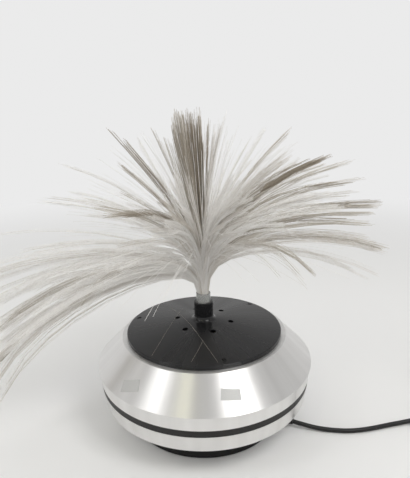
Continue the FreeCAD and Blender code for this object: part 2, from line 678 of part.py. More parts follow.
def make_light():
    low = "reflector_height - reflector_depth + reflector_depth * (reflector_hole / reflector_radius) ^ 2"
    steps = 8
    heights = [f"({low}) + (reflector_height - ({low})) * {i / steps}" for i in range(steps + 1)]
    outer = [(parabola_radius(level) + " + reflector_wall", level) for level in heights]
    inner = [(parabola_radius(level), level) for level in reversed(heights)]
    outer[-1] = ("reflector_radius + reflector_rim", "reflector_height")
    rim = [("reflector_radius + reflector_rim", "reflector_height + reflector_wall"),
           ("reflector_radius", "reflector_height + reflector_wall")]
    under = ("reflector_radius + reflector_wall", "reflector_height")
    reflector = turned("Reflector", outer[:-1] + [under] + outer[-1:] + rim + inner[1:])
    node(reflector, "reflector")
    stud = rod("Stud", "stud_radius", "chassis_height - reflector_height - reflector_wall",
               "reflector_radius + reflector_rim / 2 + fit_gap", "0", "reflector_height + reflector_wall")
    node(copies("ReflectorStuds", stud, [about(100 + 120 * i) for i in range(3)]), "reflector_studs")
    cup = rod("Holder", "holder_radius", "holder_top - holder_base", z="holder_base")
    bore = rod("HolderBore", "cap_radius + cap_gap", "holder_top", z="cap_foot")
    node(cut("Holder", cup, bore), "lampholder")
    top = block("BracketTop", "bracket_reach + holder_radius", "bracket_width", "bracket_wall",
                "(bracket_reach - holder_radius) / 2", "0", "holder_base - bracket_wall")
    riser = block("BracketRiser", "bracket_wall", "bracket_width", "holder_base - pan_inside",
                  "bracket_reach - bracket_wall / 2", "0", "pan_inside")
    foot = block("BracketFoot", "bracket_foot", "bracket_width", "bracket_wall",
                 "bracket_reach - bracket_wall + bracket_foot / 2", "0", "pan_inside")
    strip = fuse("Bracket", top, riser, foot)
    hole = rod("BracketHole", "screw_radius + screw_gap", "pan_top", *floor_screw_places()[2])
    node(cut("Bracket", strip, hole), "lamp_bracket")
    cap = turned("BulbCap", [
        ("0", "cap_foot"), ("cap_radius", "cap_foot"), ("cap_radius", "holder_top + 1"),
        ("cap_radius - cap_wall", "holder_top + 1"), ("cap_radius - cap_wall", "cap_foot + 3"),
        ("0", "cap_foot + 3")])
    node(cap, "bulb_cap")
    ball = doc.addObject("Part::Sphere", "BulbBall")
    tie(ball, Radius="bulb_radius", z="bulb_centre")
    neck = rod("BulbNeck", "cap_radius - cap_wall - fit_gap", "bulb_centre - holder_top + cap_height - 8",
               z="holder_top - cap_height + 8")
    hollow_ball = doc.addObject("Part::Sphere", "BulbHollow")
    tie(hollow_ball, Radius="bulb_radius - bulb_wall", z="bulb_centre")
    hollow_neck = rod("BulbNeckHollow", "cap_radius - cap_wall - fit_gap - bulb_wall",
                      "bulb_centre - holder_top + cap_height - 10", z="holder_top - cap_height + 10")
    glass = cut("Bulb", fuse("BulbOuter", ball, neck), fuse("BulbInner", hollow_ball, hollow_neck))
    node(glass, "bulb_glass")
    stem = rod("FilamentStem", "1.6", "bulb_centre - holder_top + cap_height - 16",
               z="holder_top - cap_height + 10")
    legs = [rod(f"FilamentLeg{i}", "0.35", "7", x=x, z="bulb_centre - 6.5") for i, x in enumerate(("-3", "3"))]
    bar = block("FilamentBridge", "7", "1.2", "1", z="bulb_centre - 7")
    coil = doc.addObject("Part::Cylinder", "FilamentCoil")
    coil.Placement = Placement(Vector(), Rotation(Vector(0, 1, 0), 90))
    tie(coil, Radius="0.6", Height="6.4", x="-3.2", z="bulb_centre + 0.3")
    node(fuse("Filament", stem, bar, *legs, coil), "bulb_filament")


# Transformer, terminal block and wiring
def make_supply():
    x = "-core_place"
    middle = "pan_inside + core_height / 2"
    stack = block("CoreStack", "core_depth", "core_width", "core_height", x, "0", "pan_inside")
    inset = "core_width / 6 + window_width / 2"
    windows = [block(f"CoreWindow{i}", "2 * core_depth", "window_width", "window_height", x,
                     f"{side}({inset})", f"{middle} - window_height / 2")
               for i, side in enumerate(("", "-"))]
    node(cut("Core", stack, *windows), "transformer_core")
    bulk = block("WindingBulk", "winding_depth", "core_width / 3 + 2 * (window_width - winding_gap)",
                 "window_height - 2 * winding_gap", x, "0",
                 f"{middle} - window_height / 2 + winding_gap")
    leg = block("WindingLeg", "core_depth", "core_width / 3", "core_height", x, "0", "pan_inside")
    doc.recompute()
    bulk_round = doc.addObject("Part::Fillet", "WindingRound")
    bulk_round.Base = bulk
    bulk_round.Edges = [(i, 4.0, 4.0) for i, edge in enumerate(bulk.Shape.Edges, start=1)
                        if abs(edge.Vertexes[0].Z - edge.Vertexes[1].Z) > 1]
    node(cut("Winding", bulk_round, leg), "transformer_winding")
    out = "core_width / 2 + clamp_wall"
    crown = block("ClampTop", "clamp_width", "core_width + 2 * clamp_wall", "clamp_wall", x, "0",
                  "pan_inside + core_height")
    legs = [block(f"ClampLeg{i}", "clamp_width", "clamp_wall", "core_height", x,
                  f"{side}({out} - clamp_wall / 2)", "pan_inside") for i, side in enumerate(("", "-"))]
    feet = [block(f"ClampFoot{i}", "clamp_width", "clamp_foot", "clamp_wall", x,
                  f"{side}({out} + clamp_foot / 2 - clamp_wall)", "pan_inside")
            for i, side in enumerate(("", "-"))]
    strap = fuse("Clamp", crown, *legs, *feet)
    holes = [rod(f"ClampHole{i}", "screw_radius + screw_gap", "pan_top", *spot)
             for i, spot in enumerate(floor_screw_places()[:2])]
    node(cut("Clamp", strap, *holes), "transformer_clamp")
    terminal = block("Terminal", "terminal_width", "terminal_length", "terminal_height", z="pan_inside")
    wells = [rod(f"TerminalWell{i}", "terminal_screw + 0.2", "3", y=f"{side} terminal_pitch / 2",
                 z="pan_inside + terminal_height - 2") for i, side in enumerate(("+", "-"))]
    shaped = cut("Terminal", terminal, *wells)
    lead_place = about(size("lead_angle"), size("terminal_place * cos(lead_angle)"),
                       size("terminal_place * sin(lead_angle)"))
    node(copies("TerminalBlock", shaped, [lead_place]), "terminal_block")
    pin = rod("TerminalPin", "terminal_screw", "1.6", z="pan_inside + terminal_height - 2")
    slot = block("TerminalSlot", "5", "0.6", "2", z="pan_inside + terminal_height - 1")
    half = size("terminal_pitch / 2")
    node(copies("TerminalScrews", cut("TerminalPin", pin, slot),
                [lead_place * about(30, 0, side * half) for side in (1, -1)]), "terminal_screws")
    screw = cheese_screw("ChassisScrew", "clamp_wall + pan_floor - 0.6")
    doc.recompute()
    walls = ("clamp_wall", "clamp_wall", "bracket_wall")
    seats = [(size(x), size(y), size("pan_inside + " + wall))
             for (x, y), wall in zip(floor_screw_places(), walls)]
    for side in (1, -1):
        reach = side * size("motor_radius + motor_ear")
        turn = math.radians(size("motor_angle"))
        seats.append((size("motor_x") + reach * math.sin(turn), size("motor_y") - reach * math.cos(turn),
                      size("chassis_top")))
    spots = [about(20 + 35 * i, *seat) for i, seat in enumerate(seats)]
    node(copies("ChassisScrews", screw, spots), "chassis_screws")


# Motor, gears and colour wheel
def gear_face(teeth):
    """The outline of a spur gear as a face."""
    builder = fcgear.FCWireBuilder()
    involute.CreateExternalGear(builder, size("gear_module"), int(round(size(teeth))), 20.0, True)
    return Part.Face(Part.Wire([piece.toShape() for piece in builder.wire]))


def gear_solid(teeth, height, wall, turn):
    solid = gear_face(teeth).extrude(Vector(0, 0, size(wall)))
    solid.rotate(Vector(), Vector(0, 0, 1), turn)
    solid.translate(Vector(0, 0, size(height)))
    return solid


def make_drive():
    can = rod("MotorCan", "motor_radius", "motor_height", z="chassis_height - motor_height - seat_gap")
    ears = block("MotorEars", "ear_width", "2 * (motor_radius + 2 * motor_ear)", "ear_wall",
                 z="chassis_height - ear_wall - seat_gap")
    holes = [rod(f"MotorHole{i}", "screw_radius + screw_gap", "motor_height",
                 y=f"{side} (motor_radius + motor_ear)", z="chassis_height - motor_height / 2")
             for i, side in enumerate(("+", "-"))]
    bore = rod("MotorBore", "shaft_radius + shaft_gap", "motor_height", z="chassis_height - motor_height / 2")
    motor = cut("Motor", fuse("Motor", can, ears), *holes, bore)
    seat = about(size("motor_angle"), size("motor_x"), size("motor_y"))
    node(copies("MotorBody", motor, [seat]), "motor_body")
    shaft = Part.makeCylinder(size("shaft_radius"), size("gear_height + gear_wall + 1 - chassis_height + 8"),
                              Vector(0, 0, size("chassis_height") - 8))
    toothed = gear_solid("pinion_teeth", "gear_height", "gear_wall", pinion_turn())
    pinion = toothed.fuse(shaft)
    pinion.translate(Vector(size("motor_x"), size("motor_y"), 0))
    node(loose("MotorPinion", pinion), "motor_pinion")
    wheel_x = size("wheel_place")
    gear = gear_solid("gear_teeth", "gear_height", "gear_wall", 0)
    gear = gear.cut(Part.makeCylinder(size("hub_radius") + 0.02, size("lip_height")))
    for i in range(4):
        hole = Part.makeCylinder(size("gear_module * gear_teeth / 8"), size("lip_height"))
        arm = size("hub_radius + gear_module * gear_teeth / 2") / 2 - 0.5
        turn = math.radians(45 + 90 * i)
        hole.translate(Vector(arm * math.cos(turn), arm * math.sin(turn), 0))
        gear = gear.cut(hole)
    gear.translate(Vector(wheel_x, 0, 0))
    node(loose("WheelGear", gear), "wheel_gear")
    disc = rod("WheelDisc", "wheel_radius", "wheel_wall", z="wheel_height")
    sleeve = rod("WheelSleeve", "hub_radius", "hub_top - gear_height", z="gear_height")
    bore = rod("WheelBore", "axle_radius + axle_gap", "lip_height")
    ring = rod("WindowOuter", "wheel_radius - wheel_rim", "wheel_wall * 2", z="wheel_height - 0.5")
    core = rod("WindowInner", "wheel_hub", "wheel_wall * 3", z="wheel_height - 1")
    bars = [block("WindowBarX", "2 * wheel_radius", "wheel_spoke", "4", z="wheel_height - 1"),
            block("WindowBarY", "wheel_spoke", "2 * wheel_radius", "4", z="wheel_height - 1")]
    windows = cut("Windows", ring, core, *bars)
    wheel = cut("Wheel", fuse("Wheel", disc, sleeve), windows, bore)
    node(copies("ColourWheel", wheel, [about(0, wheel_x)]), "colour_wheel")
    sector = rod("Filter", "wheel_radius - wheel_rim + filter_lap", "filter_wall", z="wheel_top")
    sector.setExpression("Angle", bound("filter_angle"))
    hollow = rod("FilterHollow", "wheel_hub - filter_lap", "4", z="wheel_height")
    shape = cut("Filter", sector, hollow)
    for i, colour in enumerate(("red", "amber", "green", "blue")):
        node(copies("Filter" + colour, shape, [about(0.5 + 90 * i, wheel_x)]), "filter_" + colour)
    axle = turned("WheelAxle", [
        ("0", "chassis_height - 2"), ("axle_head - 1", "chassis_height - 2"),
        ("axle_head - 1", "chassis_height"), ("axle_radius", "chassis_height"),
        ("axle_radius", "chassis_top"), ("axle_head", "chassis_top"),
        ("axle_head", "gear_height - fit_gap"), ("axle_radius", "gear_height - fit_gap"),
        ("axle_radius", "hub_top + 3"), ("0", "hub_top + 3")])
    tie(node(axle, "wheel_axle"), x="wheel_place")
    washer = rod("AxleClip", "axle_head", "0.6", "wheel_place", "0", "hub_top + 0.2")
    hole = rod("AxleClipBore", "axle_radius", "2", "wheel_place", "0", "hub_top")
    node(cut("AxleClip", washer, hole), "axle_clip")


def pinion_turn():
    """The pinion's turn that puts a gap of it against a tooth of the gear on the line of centres."""
    teeth = size("pinion_teeth")
    gear = size("gear_teeth")
    line = size("motor_angle")
    tooth_phase = (line * gear / 360.0) % 1.0
    return line + 180.0 + (tooth_phase + 0.5) * 360.0 / teeth


# Bush, ferrule and the stem of the fibres
def make_ferrule():
    bush = turned("CollarBush", [
        ("ferrule_radius - ferrule_neck + ferrule_gap", "collar_step"), ("bush_radius", "collar_step"),
        ("bush_radius", "collar_height"), ("bush_radius - bush_wall", "collar_height"),
        ("bush_radius - bush_wall", "ferrule_step"), ("neck_radius + ferrule_gap", "ferrule_step")])
    node(bush, "collar_bush")
    ferrule = turned("Ferrule", [
        ("ferrule_bore", "ferrule_bottom"), ("neck_radius", "ferrule_bottom"),
        ("neck_radius", "ferrule_step"), ("ferrule_radius", "ferrule_step"),
        ("ferrule_radius", "ferrule_top"), ("ferrule_bore", "ferrule_top")])
    node(ferrule, "ferrule")
    stem = turned("FibreStem", [
        ("0", "ferrule_bottom - bundle_end"), ("bundle_radius", "ferrule_bottom - bundle_end"),
        ("bundle_radius", "ferrule_top + 1"), ("bundle_radius + 2", "ferrule_top + 9"),
        ("crown_radius - 2", "crown_height - 10"), ("crown_radius", "crown_height"),
        ("crown_radius - 3", "crown_height + 9"), ("0", "crown_height + 13")])
    return node(stem, "fibre_stem")


# Bunches of fibres
def bunch_solid(label):
    """A loft of circles along a bent line from the crown to the tip."""
    bearing, reach, height, rise, end_radius = [size(f"{label}_{word}") for word in BUNCH_CELLS]
    outward = Vector(math.cos(math.radians(bearing)), math.sin(math.radians(bearing)), 0)
    up = Vector(0, 0, 1)
    slope = math.radians(rise)
    heading = outward * math.cos(slope) + up * math.sin(slope)
    root = up * size("crown_height - 4") + heading * size("bunch_start")
    tip = outward * reach + up * height
    bend = root + heading * ((tip - root).Length * 0.5)
    rings = []
    for step in (0.0, 0.3, 0.65, 1.0):
        centre = root * (1 - step) ** 2 + bend * (2 * step * (1 - step)) + tip * step ** 2
        along = (bend - root) * (1 - step) + (tip - bend) * step
        radius = size("bunch_root") * (1 - step) + end_radius * step
        rings.append(Part.Wire(Part.Circle(centre, along, radius).toShape()))
    return Part.makeLoft(rings, True, False)


def make_bunches(stem):
    made = []
    for label, *numbers in BUNCHES:
        bunch = loose(label + "_bunch", bunch_solid(label))
        made.append(node(cut(label, bunch, stem, *made), label))


# Lead: straight runs joined by tangent arcs
def rounded_path(points):
    """A wire through a list of points with its corners rounded, and the radii used."""
    edges = []
    radii = []
    start = points[0]
    for before, corner, after in zip(points, points[1:], points[2:]):
        run_in = corner - before
        run_out = after - corner
        half_turn = run_in.getAngle(run_out) / 2
        reach = 0.45 * min(run_in.Length, run_out.Length)
        radius = reach / math.tan(half_turn)
        run_in.normalize()
        run_out.normalize()
        enter = corner - run_in * reach
        leave = corner + run_out * reach
        inward = (run_out - run_in).normalize()
        middle = corner + inward * (radius / math.cos(half_turn) - radius)
        edges.append(Part.LineSegment(start, enter).toShape())
        edges.append(Part.Arc(enter, middle, leave).toShape())
        radii.append(radius)
        start = leave
    edges.append(Part.LineSegment(start, points[-1]).toShape())
    return Part.Wire(edges), radii


def tube(label, points, radius):
    """A round solid along a rounded path, checked against its section times its length."""
    path, radii = rounded_path([Vector(*point) for point in points])
    along = Vector(*points[1]) - Vector(*points[0])
    ring = Part.Wire(Part.Circle(Vector(*points[0]), along, radius).toShape())
    solid = path.makePipeShell([ring], True, False)
    expected = math.pi * radius ** 2 * path.Length
    print(label, "length", round(path.Length, 1), "radii", [round(r, 1) for r in radii],
          "volume share", round(solid.Volume / expected, 4))
    return solid


def lead_exit():
    """The tip of the strain relief, where the lead comes out."""
    turn = math.radians(size("lead_angle"))
    reach = size("relief_end")
    return (reach * math.cos(turn), reach * math.sin(turn), size("lead_height"))


# Route of the lead on the table, points chosen by hand
LEAD_ROUTE = [(112.5, -46.6, 5.9), (126.0, -49.6, 3.4), (142.0, -52.6, 2.6), (159.0, -54.9, 2.6),
              (176.0, -54.0, 2.6), (192.0, -50.9, 2.6), (208.0, -46.9, 2.6), (224.0, -43.8, 2.9),
              (241.0, -41.9, 4.6), (252.0, -41.0, 6.6)]
TAIL_ROUTE = [(334.0, -32.2, 6.9), (347.0, -26.6, 4.2), (357.0, -15.0, 2.8), (363.0, 1.0, 2.6),
              (364.0, 17.0, 2.6), (361.0, 33.0, 2.6)]
PLUG_ROUTE = [(355.0, 57.0, 12.4), (355.0, 71.0, 12.8), (356.4, 83.0, 9.6), (358.0, 95.0, 6.9)]


def switch_end(side):
    """Where the lead meets the switch, at its near (-1) or far (1) end."""
    return (size(f"switch_x + {side} * switch_length / 2 * cos(switch_angle)"),
            size(f"switch_y + {side} * switch_length / 2 * sin(switch_angle)"), size("switch_parting"))


def make_lead():
    relief = turned("StrainRelief", [
        ("lead_radius + 0.05", "0"), ("relief_flange", "0"), ("relief_flange", "2"),
        ("relief_neck", "2"), ("relief_neck", "relief_step"), ("relief_radius", "relief_step"),
        ("relief_radius", "relief_step + 4"), ("relief_tip", "relief_stop"),
        ("lead_radius + 0.05", "relief_stop")])
    aim(node(relief, "strain_relief"), "relief_start")
    inner = rod("LeadInner", "lead_radius", "relief_end - terminal_place - terminal_width / 2")
    aim(inner, "terminal_place + terminal_width / 2")
    node(inner, "lead_inner")
    route = [lead_exit()] + LEAD_ROUTE + [switch_end(-1)]
    node(loose("LeadTube", tube("lead", route, size("lead_radius"))), "lead_tube")
    ring = turned("Coil", [
        ("coil_radius - coil_width / 2", "table_gap"), ("coil_radius + coil_width / 2", "table_gap"),
        ("coil_radius + coil_width / 2", "coil_height + table_gap"),
        ("coil_radius - coil_width / 2", "coil_height + table_gap")])
    filleted(ring, "CoilRound", "lead_radius", every_edge)
    middle = (size("coil_x"), size("coil_y"))
    coil = copies("LeadCoil", ring, [about(0, *middle)])
    node(coil, "lead_coil")
    tail = loose("TailTube", tube("tail", [switch_end(1)] + TAIL_ROUTE, size("lead_radius")))
    last = loose("PlugTube", tube("plug end", PLUG_ROUTE, size("lead_radius")))
    doc.recompute()
    outside = [cut("Tail", tail, coil), cut("PlugEnd", last, coil)]
    doc.recompute()
    node(loose("LeadTail", Part.makeCompound([largest(item.Shape) for item in outside])), "lead_tail")
    outer = block("TieOuter", "coil_width + 2 * tie_wall + 0.4", "tie_width",
                  "coil_height + tie_wall + 0.2", "coil_radius", "0", "table_gap")
    inner = block("TieInner", "coil_width + 0.4", "tie_width * 2", "coil_height + 0.2", "coil_radius",
                  "0", "0")
    node(copies("CoilTie", cut("Tie", outer, inner), [about(200, *middle)]), "coil_tie")


def largest(shape):
    return max(shape.Solids, key=lambda solid: solid.Volume)


# In-line switch
def stadium(label, length, width, height, z):
    """A bar with half-round ends."""
    bar = block(label + "Bar", f"({length}) - ({width})", width, height, z=z)
    ends = [rod(f"{label}End{i}", f"({width}) / 2", height, x=f"{side}(({length}) - ({width})) / 2", z=z)
            for i, side in enumerate(("", "-"))]
    return fuse(label, bar, *ends)


def rounded(label, base, radius, level):
    """Round the edges of a solid that lie at one height."""
    doc.recompute()
    item = doc.addObject("Part::Fillet", label)
    item.Base = base
    item.Edges = [(i, size(radius), size(radius)) for i, edge in enumerate(base.Shape.Edges, start=1)
                  if all(abs(vertex.Z - size(level)) < 1e-3 for vertex in edge.Vertexes)]
    return item


def make_switch():
    inner_length = "switch_length - 2 * switch_wall"
    inner_width = "switch_width - 2 * switch_wall"
    place = about(size("switch_angle"), size("switch_x"), size("switch_y"))
    shell = stadium("SwitchLow", "switch_length", "switch_width", "switch_parting - table_gap",
                    "table_gap")
    shell = rounded("SwitchLowRound", shell, "switch_round", "table_gap")
    room = stadium("SwitchLowRoom", inner_length, inner_width, "switch_parting", "switch_wall")
    holes = [lead_hole(f"SwitchLowLead{i}", side) for i, side in enumerate((1, -1))]
    node(copies("SwitchBase", cut("SwitchLow", shell, room, *holes), [place]), "switch_base")
    cover = stadium("SwitchHigh", "switch_length", "switch_width", "switch_height - switch_parting",
                    "switch_parting")
    cover = rounded("SwitchHighRound", cover, "switch_round", "switch_height")
    room = stadium("SwitchHighRoom", inner_length, inner_width,
                   "switch_height - switch_parting - switch_wall + 1", "switch_parting - 1")
    window = block("SwitchWindow", "rocker_length + 2 * rocker_gap", "rocker_width + 2 * rocker_gap",
                   "switch_height", z="switch_parting")
    holes = [lead_hole(f"SwitchHighLead{i}", side) for i, side in enumerate((1, -1))]
    shaped = cut("SwitchHigh", cover, room, window, *holes)
    cheeks = [block(f"SwitchCheek{i}", "8", "2", "switch_height - switch_parting - switch_wall",
                    y=f"{side}(rocker_width / 2 + rocker_gap + 1)", z="switch_parting")
              for i, side in enumerate(("", "-"))]
    pin_hole = trunnion("SwitchPinHole", "rocker_pin + 0.05", "rocker_width + 8")
    node(copies("SwitchCover", cut("SwitchCover", fuse("SwitchCover", shaped, *cheeks), pin_hole), [place]),
         "switch_cover")
    body = block("RockerBody", "rocker_length", "rocker_width", "switch_height + rocker_proud - pivot_height",
                 z="pivot_height")
    pin = trunnion("RockerPin", "rocker_pin", "rocker_width + 4.6")
    barrel = trunnion("RockerBarrel", "rocker_pin + 2", "rocker_width")
    dip = doc.addObject("Part::Cylinder", "RockerDip")
    dip.Placement = Placement(Vector(), Rotation(Vector(1, 0, 0), 90))
    tie(dip, Radius="rocker_length * 2", Height="rocker_width * 2", y="rocker_width",
        z="switch_height + rocker_proud - 1.1 + rocker_length * 2")
    rocker = fuse("Rocker", cut("RockerBody", body, dip), pin, barrel)
    doc.recompute()
    tilt = Placement(Vector(), Rotation(Vector(0, 1, 0), -size("rocker_angle")),
                     Vector(0, 0, size("pivot_height")))
    node(copies("SwitchRocker", rocker, [place * tilt]), "switch_rocker")


def lead_hole(label, side):
    """A hole for the lead in one end of the switch."""
    item = doc.addObject("Part::Cylinder", label)
    item.Placement = Placement(Vector(), Rotation(Vector(0, 1, 0), 90 * side))
    return tie(item, Radius="lead_radius + fit_gap", Height="switch_wall * 2",
               x=f"{side} * (switch_length / 2 - switch_wall * 1.5)", z="switch_parting")


def trunnion(label, radius, length):
    """A rod across the switch at the rocker's pivot."""
    item = doc.addObject("Part::Cylinder", label)
    item.Placement = Placement(Vector(), Rotation(Vector(1, 0, 0), 90))
    return tie(item, Radius=radius, Height=length, y=f"({length}) / 2", z="pivot_height")


# Plug with two round pins
def make_plug():
    body = doc.addObject("PartDesign::Body", "PlugBody")
    sketch = sketch_on(body, "PlugOutline", "XY_Plane")
    half = "plug_width / 2"
    outline(sketch, [
        ("0", "-lead_radius * 2"), ("plug_length * 0.25", f"-({half})"), ("plug_length * 0.8", f"-({half})"),
        ("plug_length", "-plug_nose / 2 - pin_radius"), ("plug_length", "plug_nose / 2 + pin_radius"),
        ("plug_length * 0.8", half), ("plug_length * 0.25", half), ("0", "lead_radius * 2")])
    pad = body.newObject("PartDesign::Pad", "PlugPad")
    pad.Profile = sketch
    pad.setExpression("Length", bound("plug_thickness"))
    doc.recompute()
    filleted(body, "PlugRound", "2.5", level_edge)
    tail = doc.addObject("Part::Cone", "PlugTail")
    tail.Placement = Placement(Vector(), Rotation(Vector(0, 1, 0), -90))
    tie(tail, Radius1="lead_radius * 1.9", Radius2="lead_radius * 1.3", Height="plug_tail + 3", x="3",
        z="plug_thickness / 2")
    sockets = [plug_rod(f"PlugSocket{i}", side, "pin_root", "plug_length - pin_seat", "pin_seat + 1")
               for i, side in enumerate((1, -1))]
    shaped = cut("Plug", fuse("Plug", body, tail), *sockets)
    end = PLUG_ROUTE[-1]
    turn = math.radians(size("plug_angle"))
    reach = size("plug_tail")
    place = about(size("plug_angle"), end[0] + reach * math.cos(turn), end[1] + reach * math.sin(turn),
                  end[2] - size("plug_thickness / 2"))
    node(copies("PlugBodyPlaced", shaped, [place]), "plug_body")
    pins = [plug_pin(f"PlugPin{i}", side) for i, side in enumerate((1, -1))]
    doc.recompute()
    solids = [pin.Shape.transformed(place.toMatrix()) for pin in pins]
    node(loose("PlugPins", Part.makeCompound(solids)), "plug_pins")


def plug_rod(label, side, radius, start, length):
    """A rod along the plug, on the line of one pin."""
    item = doc.addObject("Part::Cylinder", label)
    item.Placement = Placement(Vector(), Rotation(Vector(0, 1, 0), 90))
    return tie(item, Radius=radius, Height=length, x=start, y=f"{side} * pin_spacing / 2",
               z="plug_thickness / 2")


def plug_pin(label, side):
    """One pin with a domed end, and its thinner root in the plug."""
    item = plug_rod(label, side, "pin_radius", "plug_length", "pin_length")
    doc.recompute()
    tip = doc.addObject("Part::Fillet", label + "Tip")
    tip.Base = item
    reach = size("plug_length + pin_length")
    tip.Edges = [(i, size("pin_radius") * 0.7, size("pin_radius") * 0.7)
                 for i, edge in enumerate(item.Shape.Edges, start=1)
                 if isinstance(edge.Curve, Part.Circle) and abs(edge.Curve.Center.x - reach) < 1e-3]
    return fuse(label, tip, plug_rod(label + "Root", side, "pin_root", "plug_length - pin_seat", "pin_seat"))


# Build, check and write
def check_document():
    doc.recompute()
    for item in doc.Objects:
        if "Invalid" in item.State or "Error" in item.State:
            raise ValueError(item.Name + " failed: " + str(item.State))
    for label, item in NODES.items():
        if item.Shape.isNull() or not item.Shape.isValid():
            raise ValueError(label + " has no valid shape")


def write_steps():
    os.makedirs("parts", exist_ok=True)
    for label, item in NODES.items():
        solids = item.Shape.Solids
        shape = solids[0] if len(solids) == 1 else Part.makeCompound(solids)
        shape.exportStep(os.path.join("parts", label + ".step"))
        box = shape.BoundBox
        print(f"{label:22s} {len(solids)} solids {shape.Volume / 1000:9.2f} cm3",
              f"x {box.XMin:.1f} {box.XMax:.1f} y {box.YMin:.1f} {box.YMax:.1f} z {box.ZMin:.1f} {box.ZMax:.1f}")


make_foot()
make_shells()
make_top_plate()
make_screws()
make_posts()
make_light()
make_supply()
make_drive()
make_bunches(make_ferrule())
make_lead()
make_switch()
make_plug()
check_document()
write_steps()
print(len(NODES), "nodes")
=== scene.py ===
# %% [markdown]
# A fibre optic lamp. Light from a lamp in the base enters the polished end of a bundle of clear
# plastic fibres, and only their far ends glow. Most of the picture is thin, pale fibre against a
# pale wall, so the lesson is about making thousands of hairs cheaply, and about brushed metal,
# whose look is all in how it spreads a reflection.

# %% Tools and the frame
import json
import math
import random

import bmesh
import bpy
from mathutils import Matrix, Vector

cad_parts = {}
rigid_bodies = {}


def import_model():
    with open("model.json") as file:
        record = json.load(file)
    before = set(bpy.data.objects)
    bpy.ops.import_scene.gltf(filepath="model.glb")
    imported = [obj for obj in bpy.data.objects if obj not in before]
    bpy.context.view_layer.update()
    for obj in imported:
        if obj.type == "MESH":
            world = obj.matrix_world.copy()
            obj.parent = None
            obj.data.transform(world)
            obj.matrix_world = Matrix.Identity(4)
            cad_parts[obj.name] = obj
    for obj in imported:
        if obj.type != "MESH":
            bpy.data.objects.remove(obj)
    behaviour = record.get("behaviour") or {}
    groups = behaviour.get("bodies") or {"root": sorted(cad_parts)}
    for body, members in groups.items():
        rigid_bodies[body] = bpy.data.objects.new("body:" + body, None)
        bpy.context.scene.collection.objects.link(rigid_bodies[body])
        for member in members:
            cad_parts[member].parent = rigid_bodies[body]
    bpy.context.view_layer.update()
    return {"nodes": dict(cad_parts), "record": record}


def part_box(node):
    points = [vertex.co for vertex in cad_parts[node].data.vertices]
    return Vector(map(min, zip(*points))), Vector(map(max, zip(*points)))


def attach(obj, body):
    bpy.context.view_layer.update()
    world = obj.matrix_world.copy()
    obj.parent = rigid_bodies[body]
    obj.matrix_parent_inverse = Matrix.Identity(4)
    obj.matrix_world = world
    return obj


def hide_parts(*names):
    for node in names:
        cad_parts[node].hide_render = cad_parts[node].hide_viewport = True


for leftover in list(bpy.data.objects):
    bpy.data.objects.remove(leftover)
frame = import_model()
NODES = frame["nodes"]
MM = 0.001
random.seed(11)


def mm(x, y, z):
    """A point given in millimetres."""
    return Vector((x, y, z)) * MM


# %% [markdown]
# The camera stands where the photographer stood. Place, pitch, turn and roll were solved from the
# edges of the base. Building the camera's matrix from its three axes keeps the roll exact, where a
# Track To constraint would always hold the camera level.

# %% Camera
CAMERA_PLACE = Vector((0.0, -0.4867, 0.3520))
CAMERA_PITCH = math.radians(15.49)
CAMERA_YAW = math.radians(-0.39)
CAMERA_ROLL = math.radians(1.22)
SENSOR = 36.0
PICTURE_LONG_SIDE = 478
FOCAL_PIXELS = 450
CLIP_START = 10 * MM


def make_camera():
    side = Vector((math.cos(CAMERA_YAW), math.sin(CAMERA_YAW), 0))
    level = Vector((-math.sin(CAMERA_YAW), math.cos(CAMERA_YAW), 0))
    ahead = level * math.cos(CAMERA_PITCH) - Vector((0, 0, math.sin(CAMERA_PITCH)))
    up = level * math.sin(CAMERA_PITCH) + Vector((0, 0, math.cos(CAMERA_PITCH)))
    right = side * math.cos(CAMERA_ROLL) - up * math.sin(CAMERA_ROLL)
    top = side * math.sin(CAMERA_ROLL) + up * math.cos(CAMERA_ROLL)
    data = bpy.data.cameras.new("camera")
    data.sensor_width = SENSOR
    data.lens = SENSOR * FOCAL_PIXELS / PICTURE_LONG_SIDE
    data.clip_start = CLIP_START
    camera = bpy.data.objects.new("camera", data)
    bpy.context.scene.collection.objects.link(camera)
    axes = Matrix((right, top, -ahead)).transposed().to_4x4()
    camera.matrix_world = Matrix.Translation(CAMERA_PLACE) @ axes
    bpy.context.scene.camera = camera
    return camera


camera = make_camera()
print("lens", round(camera.data.lens, 2))

# %% [markdown]
# Every finish starts from the same few ideas, so these come first, as shader node groups with named
# sockets. A group is built once and placed in each material with its own values. The helpers here
# keep the wiring short: a Math node takes a socket or a plain number alike.

# %% Node group helpers
def start_group(name, inputs, outputs):
    """An empty shader group with float inputs (name, value) and outputs (name, socket type)."""
    group = bpy.data.node_groups.new(name, "ShaderNodeTree")
    for label, value in inputs:
        socket = group.interface.new_socket(label, in_out="INPUT", socket_type="NodeSocketFloat")
        socket.default_value = value
    for label, kind in outputs:
        group.interface.new_socket(label, in_out="OUTPUT", socket_type=kind)
    return group, group.nodes.new("NodeGroupInput"), group.nodes.new("NodeGroupOutput")


def add_node(tree, kind, **settings):
    node = tree.nodes.new(kind)
    for key, value in settings.items():
        setattr(node, key, value)
    return node


def math_node(tree, operation, first, second=None):
    """A Math node; each operand is a socket or a number."""
    node = add_node(tree, "ShaderNodeMath", operation=operation)
    for index, operand in enumerate((first, second)):
        if operand is None:
            continue
        if isinstance(operand, (int, float)):
            node.inputs[index].default_value = operand
        else:
            tree.links.new(operand, node.inputs[index])
    return node.outputs[0]


def vector_node(tree, operation, first, second=None):
    """A Vector Math node; each operand is a socket or a triple."""
    node = add_node(tree, "ShaderNodeVectorMath", operation=operation)
    for index, operand in enumerate((first, second)):
        if operand is None:
            continue
        if isinstance(operand, tuple):
            node.inputs[index].default_value = operand
        else:
            tree.links.new(operand, node.inputs[index])
    return node.outputs["Value" if operation in ("LENGTH", "DOT_PRODUCT") else "Vector"]


